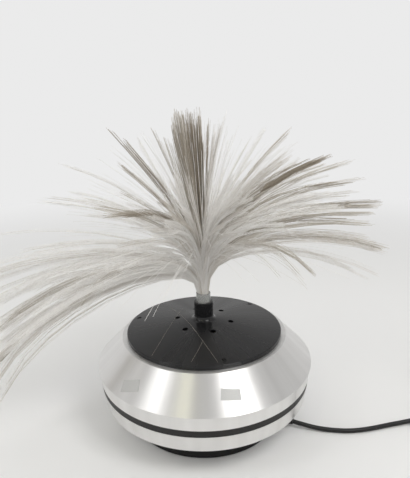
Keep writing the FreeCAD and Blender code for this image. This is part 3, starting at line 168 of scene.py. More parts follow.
# %% [markdown]
# Grain is the soft mottle of moulded and painted things. One Noise texture makes it, on Object
# coordinates, so that it has the same size on every piece. Its tone tints the colour, varies the
# roughness and drives a fine bump.

# %% Grain group
def make_grain_group():
    group, given, put = start_group("Grain", [("Scale", 400.0), ("Detail", 4.0)],
                                    [("Tone", "NodeSocketFloat")])
    place = add_node(group, "ShaderNodeTexCoord")
    noise = add_node(group, "ShaderNodeTexNoise")
    group.links.new(place.outputs["Object"], noise.inputs["Vector"])
    group.links.new(given.outputs["Scale"], noise.inputs["Scale"])
    group.links.new(given.outputs["Detail"], noise.inputs["Detail"])
    group.links.new(noise.outputs["Fac"], put.inputs["Tone"])
    return group


GRAIN = make_grain_group()
print("group", GRAIN.name)

# %% [markdown]
# Spun rings are the fine circles that a tool or an abrasive pad leaves on metal turned in a lathe.
# They could be a Wave texture, but its rings are all alike. Noise in four dimensions is livelier:
# the fourth runs with the distance from the axis and changes quickly, and the other three, which
# are the direction round the axis, hardly change. The group also gives broad fans of tone, and the
# direction across the rings.

# %% Spun rings group
RING_SCALE = 2600.0
RING_WANDER = 0.9
FAN_SCALE = 9.0
FAN_START = 15 * MM
FAN_FULL = 35 * MM


def make_rings_group():
    """Rings round the lamp's axis, fans that run out from it, and the direction across the rings."""
    group, given, put = start_group(
        "Spun Rings", [("Scale", RING_SCALE), ("Wander", RING_WANDER), ("Fan Scale", FAN_SCALE)],
        [("Tone", "NodeSocketFloat"), ("Fan", "NodeSocketFloat"), ("Across", "NodeSocketVector")])
    place = add_node(group, "ShaderNodeTexCoord").outputs["Object"]
    flat = vector_node(group, "MULTIPLY", place, (1.0, 1.0, 0.0))
    radius = vector_node(group, "LENGTH", flat)
    height = add_node(group, "ShaderNodeSeparateXYZ")
    group.links.new(place, height.inputs[0])
    along = math_node(group, "ADD", radius, height.outputs["Z"])
    around = vector_node(group, "NORMALIZE", flat)
    wander = add_node(group, "ShaderNodeVectorMath", operation="SCALE")
    group.links.new(around, wander.inputs[0])
    group.links.new(given.outputs["Wander"], wander.inputs["Scale"])
    noise = add_node(group, "ShaderNodeTexNoise", noise_dimensions="4D")
    noise.inputs["Scale"].default_value = 1.0
    noise.inputs["Detail"].default_value = 3.0
    group.links.new(wander.outputs[0], noise.inputs["Vector"])
    group.links.new(math_node(group, "MULTIPLY", along, given.outputs["Scale"]), noise.inputs["W"])
    group.links.new(noise.outputs["Fac"], put.inputs["Tone"])
    fan = add_node(group, "ShaderNodeTexNoise")
    fan.inputs["Detail"].default_value = 2.0
    group.links.new(around, fan.inputs["Vector"])
    group.links.new(given.outputs["Fan Scale"], fan.inputs["Scale"])
    outside = add_node(group, "ShaderNodeMapRange", interpolation_type="SMOOTHSTEP")
    outside.inputs["From Min"].default_value = FAN_START
    outside.inputs["From Max"].default_value = FAN_FULL
    group.links.new(radius, outside.inputs["Value"])
    broad = math_node(group, "MULTIPLY", fan.outputs["Fac"], outside.outputs[0])
    group.links.new(broad, put.inputs["Fan"])
    normal = add_node(group, "ShaderNodeNewGeometry").outputs["Normal"]
    circle = vector_node(group, "CROSS_PRODUCT", (0.0, 0.0, 1.0), around)
    across = vector_node(group, "CROSS_PRODUCT", circle, normal)
    group.links.new(across, put.inputs["Across"])
    return group


RINGS = make_rings_group()
print("group", RINGS.name)

# %% [markdown]
# Dust settles on what faces up. The mask is the upward part of the normal, broken up by noise. That
# is quicker than painting it, and it follows curved pieces by itself.

# %% Dust group
def make_dust_group():
    """A thin film of dust: more on surfaces that face up, broken by noise."""
    group, given, put = start_group("Dust", [("Amount", 0.3), ("Scale", 60.0)],
                                    [("Mask", "NodeSocketFloat")])
    place = add_node(group, "ShaderNodeTexCoord")
    noise = add_node(group, "ShaderNodeTexNoise")
    noise.inputs["Detail"].default_value = 6.0
    group.links.new(place.outputs["Object"], noise.inputs["Vector"])
    group.links.new(given.outputs["Scale"], noise.inputs["Scale"])
    facing = add_node(group, "ShaderNodeSeparateXYZ")
    group.links.new(add_node(group, "ShaderNodeNewGeometry").outputs["Normal"], facing.inputs[0])
    upward = math_node(group, "MAXIMUM", facing.outputs["Z"], 0.0)
    patchy = math_node(group, "MULTIPLY", upward, noise.outputs["Fac"])
    group.links.new(math_node(group, "MULTIPLY", patchy, given.outputs["Amount"]), put.inputs["Mask"])
    return group


DUST = make_dust_group()
DUST_COLOUR = (0.42, 0.40, 0.37, 1.0)
print("group", DUST.name)

# %% [markdown]
# Each material keeps its own Principled shader, and the groups only feed it colours, masks and
# heights. One helper builds the usual chain: a base colour mottled by grain, dust on top of it,
# roughness that varies with the same grain, and a fine bump.

# %% Material helpers
ROUGHNESS_SPREAD = 0.15
GRAIN_DEPTH = 0.2 * MM


def place_group(tree, group, **values):
    node = add_node(tree, "ShaderNodeGroup", node_tree=group)
    for label, value in values.items():
        node.inputs[label].default_value = value
    return node


def mix_colour(tree, factor, first, second):
    """A colour mix; each operand is a socket or a fixed value."""
    node = add_node(tree, "ShaderNodeMix", data_type="RGBA")
    sockets = (node.inputs[0], node.inputs[6], node.inputs[7])
    for socket, operand in zip(sockets, (factor, first, second)):
        if isinstance(operand, (tuple, float, int)):
            socket.default_value = operand
        else:
            tree.links.new(operand, socket)
    return node.outputs[2]


def spread_value(tree, tone, low, high):
    """Map a 0 to 1 tone onto a range."""
    node = add_node(tree, "ShaderNodeMapRange")
    node.inputs["To Min"].default_value = low
    node.inputs["To Max"].default_value = high
    tree.links.new(tone, node.inputs["Value"])
    return node.outputs[0]


def add_bump(tree, shader, height, strength, distance):
    bump = add_node(tree, "ShaderNodeBump")
    bump.inputs["Strength"].default_value = strength
    bump.inputs["Distance"].default_value = distance
    tree.links.new(height, bump.inputs["Height"])
    tree.links.new(bump.outputs[0], shader.inputs["Normal"])


def new_material(name, metallic, sockets):
    """A plain Principled material. Returns the material, its tree and its shader."""
    material = bpy.data.materials.new(name)
    material.use_nodes = True
    tree = material.node_tree
    shader = tree.nodes["Principled BSDF"]
    shader.inputs["Metallic"].default_value = metallic
    for label, value in sockets.items():
        shader.inputs[label].default_value = value
    return material, tree, shader


def make_finish(name, colour, roughness, metallic=0.0, grain=400.0, mottle=0.12, bump=0.05, dust=0.2,
                sockets=None):
    """A moulded, painted or plain metal finish. Returns the material, its tree and its shader."""
    material, tree, shader = new_material(name, metallic, sockets or {})
    tone = place_group(tree, GRAIN, Scale=grain).outputs["Tone"]
    dark = tuple(channel * (1 - mottle) for channel in colour[:3]) + (1.0,)
    light = tuple(min(1.0, channel * (1 + mottle)) for channel in colour[:3]) + (1.0,)
    body = mix_colour(tree, tone, dark, light)
    if dust:
        mask = place_group(tree, DUST, Amount=dust).outputs["Mask"]
        body = mix_colour(tree, mask, body, DUST_COLOUR)
    tree.links.new(body, shader.inputs["Base Color"])
    smooth = roughness * (1 - ROUGHNESS_SPREAD)
    rough = min(1.0, roughness * (1 + ROUGHNESS_SPREAD))
    tree.links.new(spread_value(tree, tone, smooth, rough), shader.inputs["Roughness"])
    if bump:
        add_bump(tree, shader, tone, bump, GRAIN_DEPTH)
    return material, tree, shader


def dress(material, *names):
    """Give CAD nodes a material of this script's own."""
    for name in names:
        node = NODES[name]
        node.data.materials.clear()
        node.data.materials.append(material)


# %% [markdown]
# Most of the pieces sit inside the closed base and show only when it is taken apart. The record
# already names a colour for each slot, so a loop turns every slot into a finish of the right kind,
# and the pieces that show are then given better ones, one by one.

# %% Finishes of the inner pieces
# Roughness, metallic and the scale of the grain for each class of material
CLASS_LOOKS = {
    "brushed_steel": (0.34, 1.0, 900.0), "aluminium": (0.3, 1.0, 900.0), "chrome": (0.12, 1.0, 300.0),
    "brass": (0.28, 1.0, 700.0), "cast_iron": (0.6, 0.6, 500.0), "painted_metal": (0.45, 0.0, 500.0),
    "matte_plastic": (0.55, 0.0, 900.0), "gloss_plastic": (0.25, 0.0, 400.0),
    "fabric": (0.9, 0.0, 1500.0), "glass": (0.05, 0.0, 200.0),
}
CLEAR_SHARE = 0.8


def dress_inner_pieces():
    slots = {row["slot"]: row for row in frame["record"]["materials"]}
    made = {}
    for row in frame["record"]["subparts"]:
        slot = row["material_slot"]
        if slot not in made:
            look = slots[slot]
            roughness, metallic, grain = CLASS_LOOKS[look["class"]]
            colour = look["base_color"]
            clear = look["class"] == "glass" or len(colour) == 4 and colour[3] < 1
            sockets = {"Transmission Weight": CLEAR_SHARE if clear else 0.0}
            made[slot] = make_finish(slot, colour, roughness, metallic, grain, sockets=sockets)[0]
        dress(made[slot], row["node"])
    return made


INNER = dress_inner_pieces()
print("inner finishes", len(INNER))

# %% [markdown]
# The base is aluminium spun over a former and brushed while it turns, so its scratches run round
# the axis. Such scratches spread a reflection across themselves and not along, which gives the
# bright and dark fans on the cone. Anisotropic is what Blender calls this: the tangent says along
# which direction the highlight is drawn out, so it gets the direction across the rings.

# %% Brushed aluminium
ALUMINIUM_DARK = (0.72, 0.71, 0.70, 1.0)
ALUMINIUM_LIGHT = (0.88, 0.875, 0.865, 1.0)
RING_SPREAD = 0.2
RING_DEPTH = 0.02 * MM


def make_aluminium(name, roughness, anisotropic, ring_strength):
    material, tree, shader = new_material(name, 1.0, {"Anisotropic": anisotropic})
    rings = place_group(tree, RINGS)
    tree.links.new(rings.outputs["Across"], shader.inputs["Tangent"])
    tone = mix_colour(tree, rings.outputs["Fan"], ALUMINIUM_DARK, ALUMINIUM_LIGHT)
    tree.links.new(tone, shader.inputs["Base Color"])
    smooth, rough = roughness * (1 - RING_SPREAD), roughness * (1 + RING_SPREAD)
    tree.links.new(spread_value(tree, rings.outputs["Tone"], smooth, rough), shader.inputs["Roughness"])
    add_bump(tree, shader, rings.outputs["Tone"], ring_strength, RING_DEPTH)
    return material


SPUN_ALUMINIUM = make_aluminium("spun_aluminium", 0.37, 0.75, 0.2)
BAND_ALUMINIUM = make_aluminium("band_aluminium", 0.34, 0.5, 0.15)
dress(SPUN_ALUMINIUM, "upper_shell", "lower_shell")
dress(BAND_ALUMINIUM, "upper_band", "lower_band")
print("aluminium", SPUN_ALUMINIUM.name, BAND_ALUMINIUM.name)

# %% [markdown]
# The black pieces differ in gloss. The plate is a smooth moulding with faint turning marks and dust
# that shows against the black, the stripe is a satin extrusion, and the foot is dull. None of them
# is quite black, because a pure black shows no shape.

# %% Black pieces
PLATE_FAN_SCALE = 4.0
PLATE_ROUGHNESS = (0.16, 0.40)


def make_plate_black():
    material, tree, shader = make_finish("plate_black", (0.008, 0.008, 0.009), 0.26, grain=90.0,
                                         bump=0.0, dust=0.012,
                                         sockets={"Anisotropic": 0.5, "Specular IOR Level": 0.4})
    rings = place_group(tree, RINGS, **{"Fan Scale": PLATE_FAN_SCALE})
    tree.links.new(rings.outputs["Across"], shader.inputs["Tangent"])
    varied = spread_value(tree, rings.outputs["Fan"], *PLATE_ROUGHNESS)
    tree.links.new(varied, shader.inputs["Roughness"])
    return material


def make_dull_black(name, colour, roughness, specular, **given):
    return make_finish(name, colour, roughness, sockets={"Specular IOR Level": specular}, **given)[0]


PLATE_BLACK = make_plate_black()
STRIPE_BLACK = make_dull_black("stripe_black", (0.012, 0.0115, 0.011), 0.45, 0.35, grain=700.0, dust=0.01)
FOOT_BLACK = make_dull_black("foot_black", (0.006, 0.006, 0.006), 0.5, 0.3, grain=900.0, bump=0.15,
                             dust=0.01)
LEAD_BLACK = make_dull_black("lead_black", (0.008, 0.008, 0.008), 0.42, 0.35, grain=800.0, bump=0.08,
                             dust=0.02)
dress(PLATE_BLACK, "top_plate")
dress(STRIPE_BLACK, "stripe_trim")
dress(FOOT_BLACK, "base_pan", "case_screws", "switch_base", "switch_cover", "switch_rocker",
      "plug_body", "coil_tie")
dress(LEAD_BLACK, "strain_relief", "lead_inner")
print("blacks", PLATE_BLACK.name, STRIPE_BLACK.name, FOOT_BLACK.name, LEAD_BLACK.name)

# %% [markdown]
# The ferrule is a clear tube gone slightly cloudy, and the fibres show through it. They are hard to
# see one by one: pale where they stand apart, brown and grey where many lie together. Real clear
# fibres by the thousand would take very long to render, so each is a pale solid, with light and shade
# painted into its colour. The shader brings the tone in slowly from the mouth of the ferrule outwards,
# in four strengths, from clear to dense. The pale colour near the mouth is painted light, for the
# light carried along the clear fibres, and the darker tones of dense locks are in part painted shade
# of thick bunches. A little emission is a painted glow that stands for the light that passes through.

# %% Clear plastic finishes
FERRULE_CLEAR = make_finish("ferrule_clear", (0.62, 0.63, 0.62), 0.2, grain=250.0, mottle=0.06, bump=0.03,
                            dust=0.0, sockets={"Transmission Weight": 0.7, "IOR": 1.49})[0]
dress(FERRULE_CLEAR, "ferrule")
MOUTH = mm(0, 0, 153)
# Near the mouth every fibre blends towards this pale colour: painted light, for the light carried along
# the clear fibres
FIBRE_PALE = (0.78, 0.76, 0.73)
# Each tone is a colour far from the mouth and a strength of painted glow; the paler, glowing sparse tones
# are painted light, and the dark dense tone is in part painted shade of thick bunches
FIBRE_TONES = {"clear": ((0.80, 0.785, 0.76), 0.10), "thin": ((0.70, 0.67, 0.63), 0.05),
               "middling": ((0.61, 0.57, 0.51), 0.02), "dense": ((0.39, 0.34, 0.275), 0.0)}
PASSED_LIGHT = 0.07
SHARE_OF_TONE = 0.65
FADE_FROM = 20 * MM
FADE_TO = 130 * MM
STREAK_SCALE = 500.0
STREAK = 0.2


def make_fibre_finish(name, far_colour, far_light):
    material, tree, shader = make_finish("fibre_" + name, FIBRE_PALE, 0.35, bump=0.0, dust=0.0,
                                         sockets={"IOR": 1.49, "Specular IOR Level": 0.3})
    place = add_node(tree, "ShaderNodeTexCoord").outputs["Object"]
    away = vector_node(tree, "LENGTH", vector_node(tree, "SUBTRACT", place, tuple(MOUTH)))
    fade = add_node(tree, "ShaderNodeMapRange", interpolation_type="SMOOTHSTEP")
    fade.inputs["From Min"].default_value = FADE_FROM
    fade.inputs["From Max"].default_value = FADE_TO
    tree.links.new(away, fade.inputs["Value"])
    streak = place_group(tree, GRAIN, Scale=STREAK_SCALE).outputs["Tone"]
    dark = tuple(channel * (1 - STREAK) for channel in far_colour) + (1.0,)
    light = tuple(min(1.0, channel * (1 + STREAK)) for channel in far_colour) + (1.0,)
    far = mix_colour(tree, streak, dark, light)
    # Painted light: the colour near the mouth is paler, as if lit by light carried along the fibres
    near = tuple(pale * (1 - SHARE_OF_TONE) + tone * SHARE_OF_TONE
                 for pale, tone in zip(FIBRE_PALE, far_colour))
    body = mix_colour(tree, fade.outputs[0], near + (1.0,), far)
    tree.links.new(body, shader.inputs["Base Color"])
    # Painted glow: the fibres emit their own colour, from PASSED_LIGHT at the mouth up to the tone's own
    # strength
    tree.links.new(body, shader.inputs["Emission Color"])
    tree.links.new(spread_value(tree, fade.outputs[0], PASSED_LIGHT, far_light),
                   shader.inputs["Emission Strength"])
    return material


FIBRE_FINISHES = [make_fibre_finish(name, *look) for name, look in FIBRE_TONES.items()]
TONE_NUMBERS = {name: index for index, name in enumerate(FIBRE_TONES)}
print("fibre tones", TONE_NUMBERS)

# %% [markdown]
# A fibre is one Bezier span. It leaves the ferrule straight up, so its first handle is vertical, and
# its own weight turns its far end down, which the last handle says. A lock is a group of fibres
# with about one tip, split into strands, because fibres that have been handled cling together. Hair
# particles could do this too, but a curve object holds every fibre of a lock at once, gives each its
# thickness, and becomes a mesh in one step. Each lock below is: the tip in millimetres, the height
# of the first handle, how many degrees the end hangs below the straight line, the number of fibres,
# how wide the lock spreads, and its tone.

# %% Locks of fibres
LOCKS = {
    "fibres_upright": [
        ((-22, -30, 353), 80, 2, 190, 11, "dense"), ((-8, 15, 354), 80, 2, 220, 9, "dense"),
        ((-30, 0, 340), 80, 4, 60, 14, "middling"), ((4, 30, 345), 80, 2, 50, 12, "middling"),
        ((-34, 10, 357), 80, 3, 12, 3, "middling"), ((-50, -30, 349), 80, 8, 10, 2, "thin"),
        ((16, 20, 352), 80, 4, 30, 16, "thin"), ((34, 25, 354), 75, 8, 26, 18, "clear"),
        ((-26, -60, 300), 74, 4, 90, 15, "clear"),
    ],
    "fibres_upper_left": [
        ((-88, -5, 337), 70, 13, 34, 3.5, "dense"), ((-82, -30, 304), 66, 18, 18, 3, "middling"),
        ((-72, -40, 302), 66, 18, 10, 3, "thin"), ((-95, 20, 272), 62, 26, 12, 3, "thin"),
        ((-60, 60, 330), 74, 10, 24, 20, "clear"),
    ],
    "fibres_left": [
        ((-104, -50, 264), 60, 32, 20, 4, "middling"), ((-97, -80, 259), 60, 42, 44, 4, "dense"),
        ((-195, 5, 266), 60, 25, 18, 7, "thin"), ((-156, 10, 306), 64, 26, 10, 8, "thin"),
        ((-212, -30, 221), 56, 26, 40, 22, "clear"), ((-150, 60, 250), 60, 30, 50, 30, "clear"),
    ],
    "fibres_left_plume": [
        ((-262, -40, 128), 62, 27, 90, 26, "clear"), ((-256, -60, 160), 62, 29, 70, 28, "clear"),
        ((-254, -25, 104), 62, 29, 90, 22, "clear"), ((-250, -45, 80), 61, 31, 90, 18, "thin"),
        ((-238, -55, 52), 60, 36, 60, 12, "clear"), ((-133, -45, 150), 58, 58, 26, 5, "thin"),
        ((-235, 20, 135), 62, 30, 70, 26, "clear"), ((-200, -85, 140), 60, 34, 60, 20, "clear"),
        ((-246, -40, 70), 60, 33, 22, 3, "thin"), ((-250, -30, 112), 62, 29, 20, 3, "thin"),
        ((-240, -50, 92), 61, 31, 20, 3, "thin"),
    ],
    "fibres_right_upper": [
        ((106, 45, 334), 72, 20, 22, 4, "middling"), ((114, 70, 303), 70, 24, 70, 12, "thin"),
        ((146, 35, 304), 70, 27, 110, 6, "dense"), ((76, 60, 340), 74, 14, 30, 26, "clear"),
        ((128, 60, 318), 72, 24, 30, 16, "thin"),
    ],
    "fibres_right_middle": [
        ((166, 15, 298), 70, 28, 30, 3, "middling"), ((172, -10, 281), 68, 31, 34, 3.5, "middling"),
        ((199, 0, 252), 68, 29, 80, 4, "middling"), ((184, -15, 244), 66, 30, 30, 2.5, "middling"),
        ((176, -30, 238), 66, 30, 34, 4, "middling"), ((186, 10, 262), 68, 30, 26, 5, "thin"),
        ((160, 60, 268), 66, 30, 50, 24, "clear"), ((150, -40, 262), 66, 30, 60, 16, "clear"),
    ],
    "fibres_right_lower": [
        ((203, -5, 200), 68, 33, 50, 6, "middling"), ((192, -30, 212), 66, 30, 34, 8, "thin"),
        ((192, -20, 180), 64, 36, 30, 16, "thin"), ((105, -100, 203), 62, 58, 20, 2.5, "middling"),
        ((96, -112, 198), 60, 58, 12, 3, "thin"), ((78, -105, 190), 60, 54, 12, 9, "clear"),
    ],
    "fibres_front": [
        ((-27, -140, 277), 66, 22, 90, 14, "thin"), ((-38, -138, 258), 62, 26, 80, 14, "clear"),
        ((22, -132, 294), 66, 22, 110, 14, "clear"), ((40, -126, 284), 64, 24, 90, 14, "clear"),
        ((64, -120, 262), 62, 28, 40, 18, "clear"), ((-72, -120, 240), 60, 30, 50, 18, "clear"),
        ((30, -128, 270), 64, 24, 90, 16, "thin"),
    ],
    "fibres_back": [
        ((-40, 128, 268), 64, 24, 80, 18, "clear"), ((18, 134, 280), 66, 22, 80, 18, "clear"),
        ((74, 110, 284), 66, 24, 70, 18, "thin"), ((-96, 96, 230), 60, 30, 50, 20, "clear"),
        ((40, 138, 240), 62, 30, 60, 18, "clear"),
    ],
}
FIBRE_RADIUS = 0.19 * MM
FIBRE_STEPS = 9
END_WIDTH = 0.8
STRAND_SIZE = 11
STRAND_WANDER = 6
TONE_WANDER = (-1, 0, 0, 0, 0, 1)
RAGGED = {"fibres_front": 0.25}
BUNDLE_RADIUS = 6.4 * MM
ROOT_DEPTH = 3.0 * MM
ROOT_SPREAD = 0.55
ROOT_LEAN = 0.35
ROOT_STRAY = 0.7 * MM
TIP_STRAY = 2.2 * MM
STRAND_CUT = (-0.20, 0.03, 0.01)
FIBRE_CUT = (-0.10, 0.02, 0.0)
OFFSET_AT_BEND = 0.18
OFFSET_AT_HOOK = 0.35
HOOK_LENGTH = 0.45


def in_disc(radius):
    """A random point in a disc, evenly spread."""
    turn = random.uniform(0, math.tau)
    reach = radius * math.sqrt(random.random())
    return reach * math.cos(turn), reach * math.sin(turn)


def add_fibre(curve, root, bend, hook, tip, tone):
    """One fibre: bend and hook are the handles next to its root and its tip."""
    spline = curve.splines.new("BEZIER")
    spline.bezier_points.add(1)
    start, end = spline.bezier_points
    for point in (start, end):
        point.handle_left_type = point.handle_right_type = "FREE"
    start.co, start.handle_left, start.handle_right = root, root * 2 - bend, bend
    end.co, end.handle_left, end.handle_right = tip, hook, tip * 2 - hook
    end.radius = END_WIDTH
    spline.resolution_u = FIBRE_STEPS
    spline.material_index = tone


def arrival(tip, hang):
    """The direction of a fibre's end, hang degrees below the line from the ferrule to the tip."""
    line = tip - MOUTH
    flat = Vector((line.x, line.y, 0))
    rise = math.atan2(line.z, flat.length) - math.radians(hang)
    return flat.normalized() * math.cos(rise) + Vector((0, 0, math.sin(rise)))


def add_lock(curve, tip, handle, hang, count, spread, tone, ragged):
    """Fibres with about one tip, in strands."""
    tip = mm(*tip)
    onward = arrival(tip, hang)
    side = onward.cross(Vector((0, 0, 1))).normalized()
    other = onward.cross(side)
    outward = Vector((tip.x, tip.y, 0)).normalized()
    left = count
    while left > 0:
        across, along = in_disc(spread * MM)
        strand = side * across + other * along
        root_across, root_along = in_disc(BUNDLE_RADIUS * ROOT_SPREAD)
        cut = random.triangular(*STRAND_CUT) * ragged
        strand_tone = max(0, min(len(FIBRE_TONES) - 1, tone + random.choice(TONE_WANDER)))
        size = random.randint(STRAND_SIZE - STRAND_WANDER, STRAND_SIZE + STRAND_WANDER)
        for _ in range(min(left, size)):
            left -= 1
            stray_across, stray_along = in_disc(TIP_STRAY)
            offset = strand + side * stray_across + other * stray_along
            root = MOUTH + outward * BUNDLE_RADIUS * ROOT_LEAN - Vector((0, 0, ROOT_DEPTH))
            root += Vector((root_across, root_along, 0)) + Vector((*in_disc(ROOT_STRAY), 0))
            reach = (tip - MOUTH).length
            stray_cut = random.triangular(*FIBRE_CUT) * ragged
            end = tip + offset + onward * reach * (cut + stray_cut)
            bend = root + Vector((0, 0, handle * MM)) + offset * OFFSET_AT_BEND
            hook = end - onward * reach * HOOK_LENGTH - offset * OFFSET_AT_HOOK
            add_fibre(curve, root, bend, hook, end, strand_tone)


def curve_to_mesh_piece(curve, name):
    """The mesh of a curve as a piece of its own, with its materials; the curve object is dropped."""
    holder = bpy.data.objects.new(name + "_curve", curve)
    bpy.context.scene.collection.objects.link(holder)
    graph = bpy.context.evaluated_depsgraph_get()
    mesh = bpy.data.meshes.new_from_object(holder.evaluated_get(graph))
    bpy.data.objects.remove(holder)
    mesh.name = name
    piece = bpy.data.objects.new(name, mesh)
    bpy.context.scene.collection.objects.link(piece)
    return piece


def new_fibre_curve(name):
    curve = bpy.data.curves.new(name, "CURVE")
    curve.dimensions = "3D"
    curve.bevel_depth = FIBRE_RADIUS
    curve.bevel_resolution = 0
    curve.use_fill_caps = True
    for material in FIBRE_FINISHES:
        curve.materials.append(material)
    return curve


print("locks", sum(len(locks) for locks in LOCKS.values()),
      "fibres", sum(lock[3] for locks in LOCKS.values() for lock in locks))

# %% [markdown]
# Each bunch of the spray becomes one piece and takes the place of the plain cone that stands for it
# in the CAD model. All of them ride on the body that turns and lifts with the ferrule. One mesh for
# the whole spray would be simpler, but with one for each bunch the pieces keep their names.

# %% Spray
def finish_spray_piece(curve, name, node=None):
    """Turn a curve of fibres into a piece on the spray; node is the CAD piece that it replaces."""
    piece = curve_to_mesh_piece(curve, name)
    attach(piece, "spray")
    if node:
        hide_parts(node)
    print(name, len(piece.data.polygons), "faces")
    return piece


for node_name, locks in LOCKS.items():
    lock_curve = new_fibre_curve(node_name)
    for tip_place, handle_height, hang_angle, number, width, tone_name in locks:
        add_lock(lock_curve, tip_place, handle_height, hang_angle, number, width,
                 TONE_NUMBERS[tone_name], RAGGED.get(node_name, 1.0))
    finish_spray_piece(lock_curve, "spray_" + node_name.removeprefix("fibres_"), node_name)

# %% [markdown]
# Between the locks the spray is never empty. Loose fibres fill the whole dome, a few at every angle,
# and from the side they read as a pale veil. Each gets a random direction instead of a place in a
# table, and the flatter it lies the more its end hangs.

# %% Loose fibres
LOOSE_COUNT = 260
LOOSE_CLIMB = (14, 84)
LOOSE_REACH = (0.165, 0.197)
LOOSE_BEND = (0.055, 0.075)
LOOSE_HANG = 30
LOOSE_HANG_POWER = 0.7
LOOSE_ROOT_SPREAD = 0.9


def add_loose_fibres():
    curve = new_fibre_curve("loose")
    for _ in range(LOOSE_COUNT):
        bearing = random.uniform(0, math.tau)
        climb = math.radians(random.uniform(*LOOSE_CLIMB))
        reach = random.uniform(*LOOSE_REACH)
        heading = Vector((math.cos(bearing) * math.cos(climb), math.sin(bearing) * math.cos(climb),
                          math.sin(climb)))
        end = MOUTH + heading * reach
        hang = LOOSE_HANG * math.cos(climb) ** LOOSE_HANG_POWER
        root = MOUTH + Vector((*in_disc(BUNDLE_RADIUS * LOOSE_ROOT_SPREAD), -ROOT_DEPTH))
        bend = root + Vector((0, 0, random.uniform(*LOOSE_BEND)))
        hook = end - arrival(end, hang) * reach * HOOK_LENGTH
        add_fibre(curve, root, bend, hook, end, TONE_NUMBERS["clear"])
    return curve


finish_spray_piece(add_loose_fibres(), "spray_loose")

# %% [markdown]
# Inside the ferrule the fibres are packed into a round bundle, cut and polished at its lower end. One
# by one they would cost far more than they show through the cloudy tube, so a turned rod stands for
# them. bmesh.ops.spin turns an outline round an axis, as a lathe would.

# %% Bundle in the ferrule
MERGE_DISTANCE = 1e-6


def turned_piece(name, outline, steps, material):
    """A closed solid turned about Z from an outline in millimetres, (radius, height) pairs."""
    shape = bmesh.new()
    points = [shape.verts.new(mm(radius, 0, height)) for radius, height in outline]
    edges = [shape.edges.new(pair) for pair in zip(points, points[1:])]
    bmesh.ops.spin(shape, geom=points + edges, cent=(0, 0, 0), axis=(0, 0, 1), angle=math.tau,
                   steps=steps, use_merge=True)
    bmesh.ops.remove_doubles(shape, verts=shape.verts, dist=MERGE_DISTANCE)
    bmesh.ops.recalc_face_normals(shape, faces=shape.faces)
    mesh = bpy.data.meshes.new(name)
    shape.to_mesh(mesh)
    shape.free()
    for polygon in mesh.polygons:
        polygon.use_smooth = True
    mesh.materials.append(material)
    piece = bpy.data.objects.new(name, mesh)
    bpy.context.scene.collection.objects.link(piece)
    return piece


stem_low, stem_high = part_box("fibre_stem")
BUNDLE_STEPS = 64
BUNDLE_OUTLINE = [(0, 86), (6.6, 86), (6.9, 86.4), (6.9, 150.5), (6.4, 151.5), (0, 152.0)]
# The rod takes the clear fibre finish, with its painted glow and its pale painted light
bundle = turned_piece("fibre_bundle", BUNDLE_OUTLINE, BUNDLE_STEPS, FIBRE_FINISHES[0])
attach(bundle, "spray")
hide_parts("fibre_stem")
print("stem from", round(stem_low.z, 4), "to", round(stem_high.z, 4))

# %% [markdown]
# Three fibres have come loose and lie on the plate, each given by its two ends. The plate is a shallow
# cone, so every point of a fibre is lifted to the height of the plate under it. A slight bow keeps
# them from looking ruled.

# %% Fallen fibres
FALLEN = [((-26, 36), (-55, -68)), ((-42, 44), (13, -84)), ((-2, -50), (-14, -83))]
FALLEN_STEPS = 12
FALLEN_BOW = 0.5
FALLEN_LIFT = 0.45
FALLEN_WIDTH = 0.5
PLATE_EDGE_PLACE = (90.0, 110.6)
PLATE_RISE = 11.0 / 79.0


def on_plate(x, y):
    radius, height = PLATE_EDGE_PLACE
    return mm(x, y, height + (radius - math.hypot(x, y)) * PLATE_RISE + FALLEN_LIFT)


def add_fallen_fibres():
    curve = new_fibre_curve("fallen")
    for (x_start, y_start), (x_end, y_end) in FALLEN:
        spline = curve.splines.new("POLY")
        spline.points.add(FALLEN_STEPS)
        for index, point in enumerate(spline.points):
            share = index / FALLEN_STEPS
            bow = FALLEN_BOW * math.sin(math.pi * share)
            x, y = x_start + (x_end - x_start) * share + bow, y_start + (y_end - y_start) * share
            point.co = (*on_plate(x, y), 1.0)
            point.radius = FALLEN_WIDTH
        spline.material_index = TONE_NUMBERS["dense"]
    piece = curve_to_mesh_piece(curve, "fallen_fibres")
    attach(piece, "base")
    print(piece.name, len(piece.data.polygons), "faces")


add_fallen_fibres()

# %% [markdown]
# Two blank paper labels are stuck on the cone. A flat sheet would stand off the curve at its ends, and
# Shrinkwrap would need the cone's own mesh. So a thin grid is laid out flat, and each of its vertices
# is then wrapped onto the cone, which keeps the label's thickness even. Each label is: its name, its
# bearing, height and tilt, and how wide and deep it is.

# %% Blank labels
LABELS = [("label_left", -131.9, 87.5, 22.0, 22.0, 12.0),
          ("label_right", -77.3, 90.5, -9.0, 20.0, 11.0)]
LABEL_GRID = (14, 8)
LABEL_GAP = 0.06
LABEL_THICKNESS = 0.10
CONE_FOOT = (125.0, 76.5)
CONE_SLOPE = math.radians(45.1)
LABEL_PAPER = make_finish("label_paper", (0.52, 0.52, 0.51), 0.5, grain=600.0, mottle=0.05, bump=0.05,
                          dust=0.0, sockets={"Metallic": 0.25})[0]


def on_cone(turn, climb, lift):
    """A point on the cone: turned from +X, climbed up the slope from its foot, lifted off it."""
    radius = CONE_FOOT[0] - climb * math.cos(CONE_SLOPE) + lift * math.sin(CONE_SLOPE)
    height = CONE_FOOT[1] + climb * math.sin(CONE_SLOPE) + lift * math.cos(CONE_SLOPE)
    return mm(radius * math.cos(turn), radius * math.sin(turn), height)


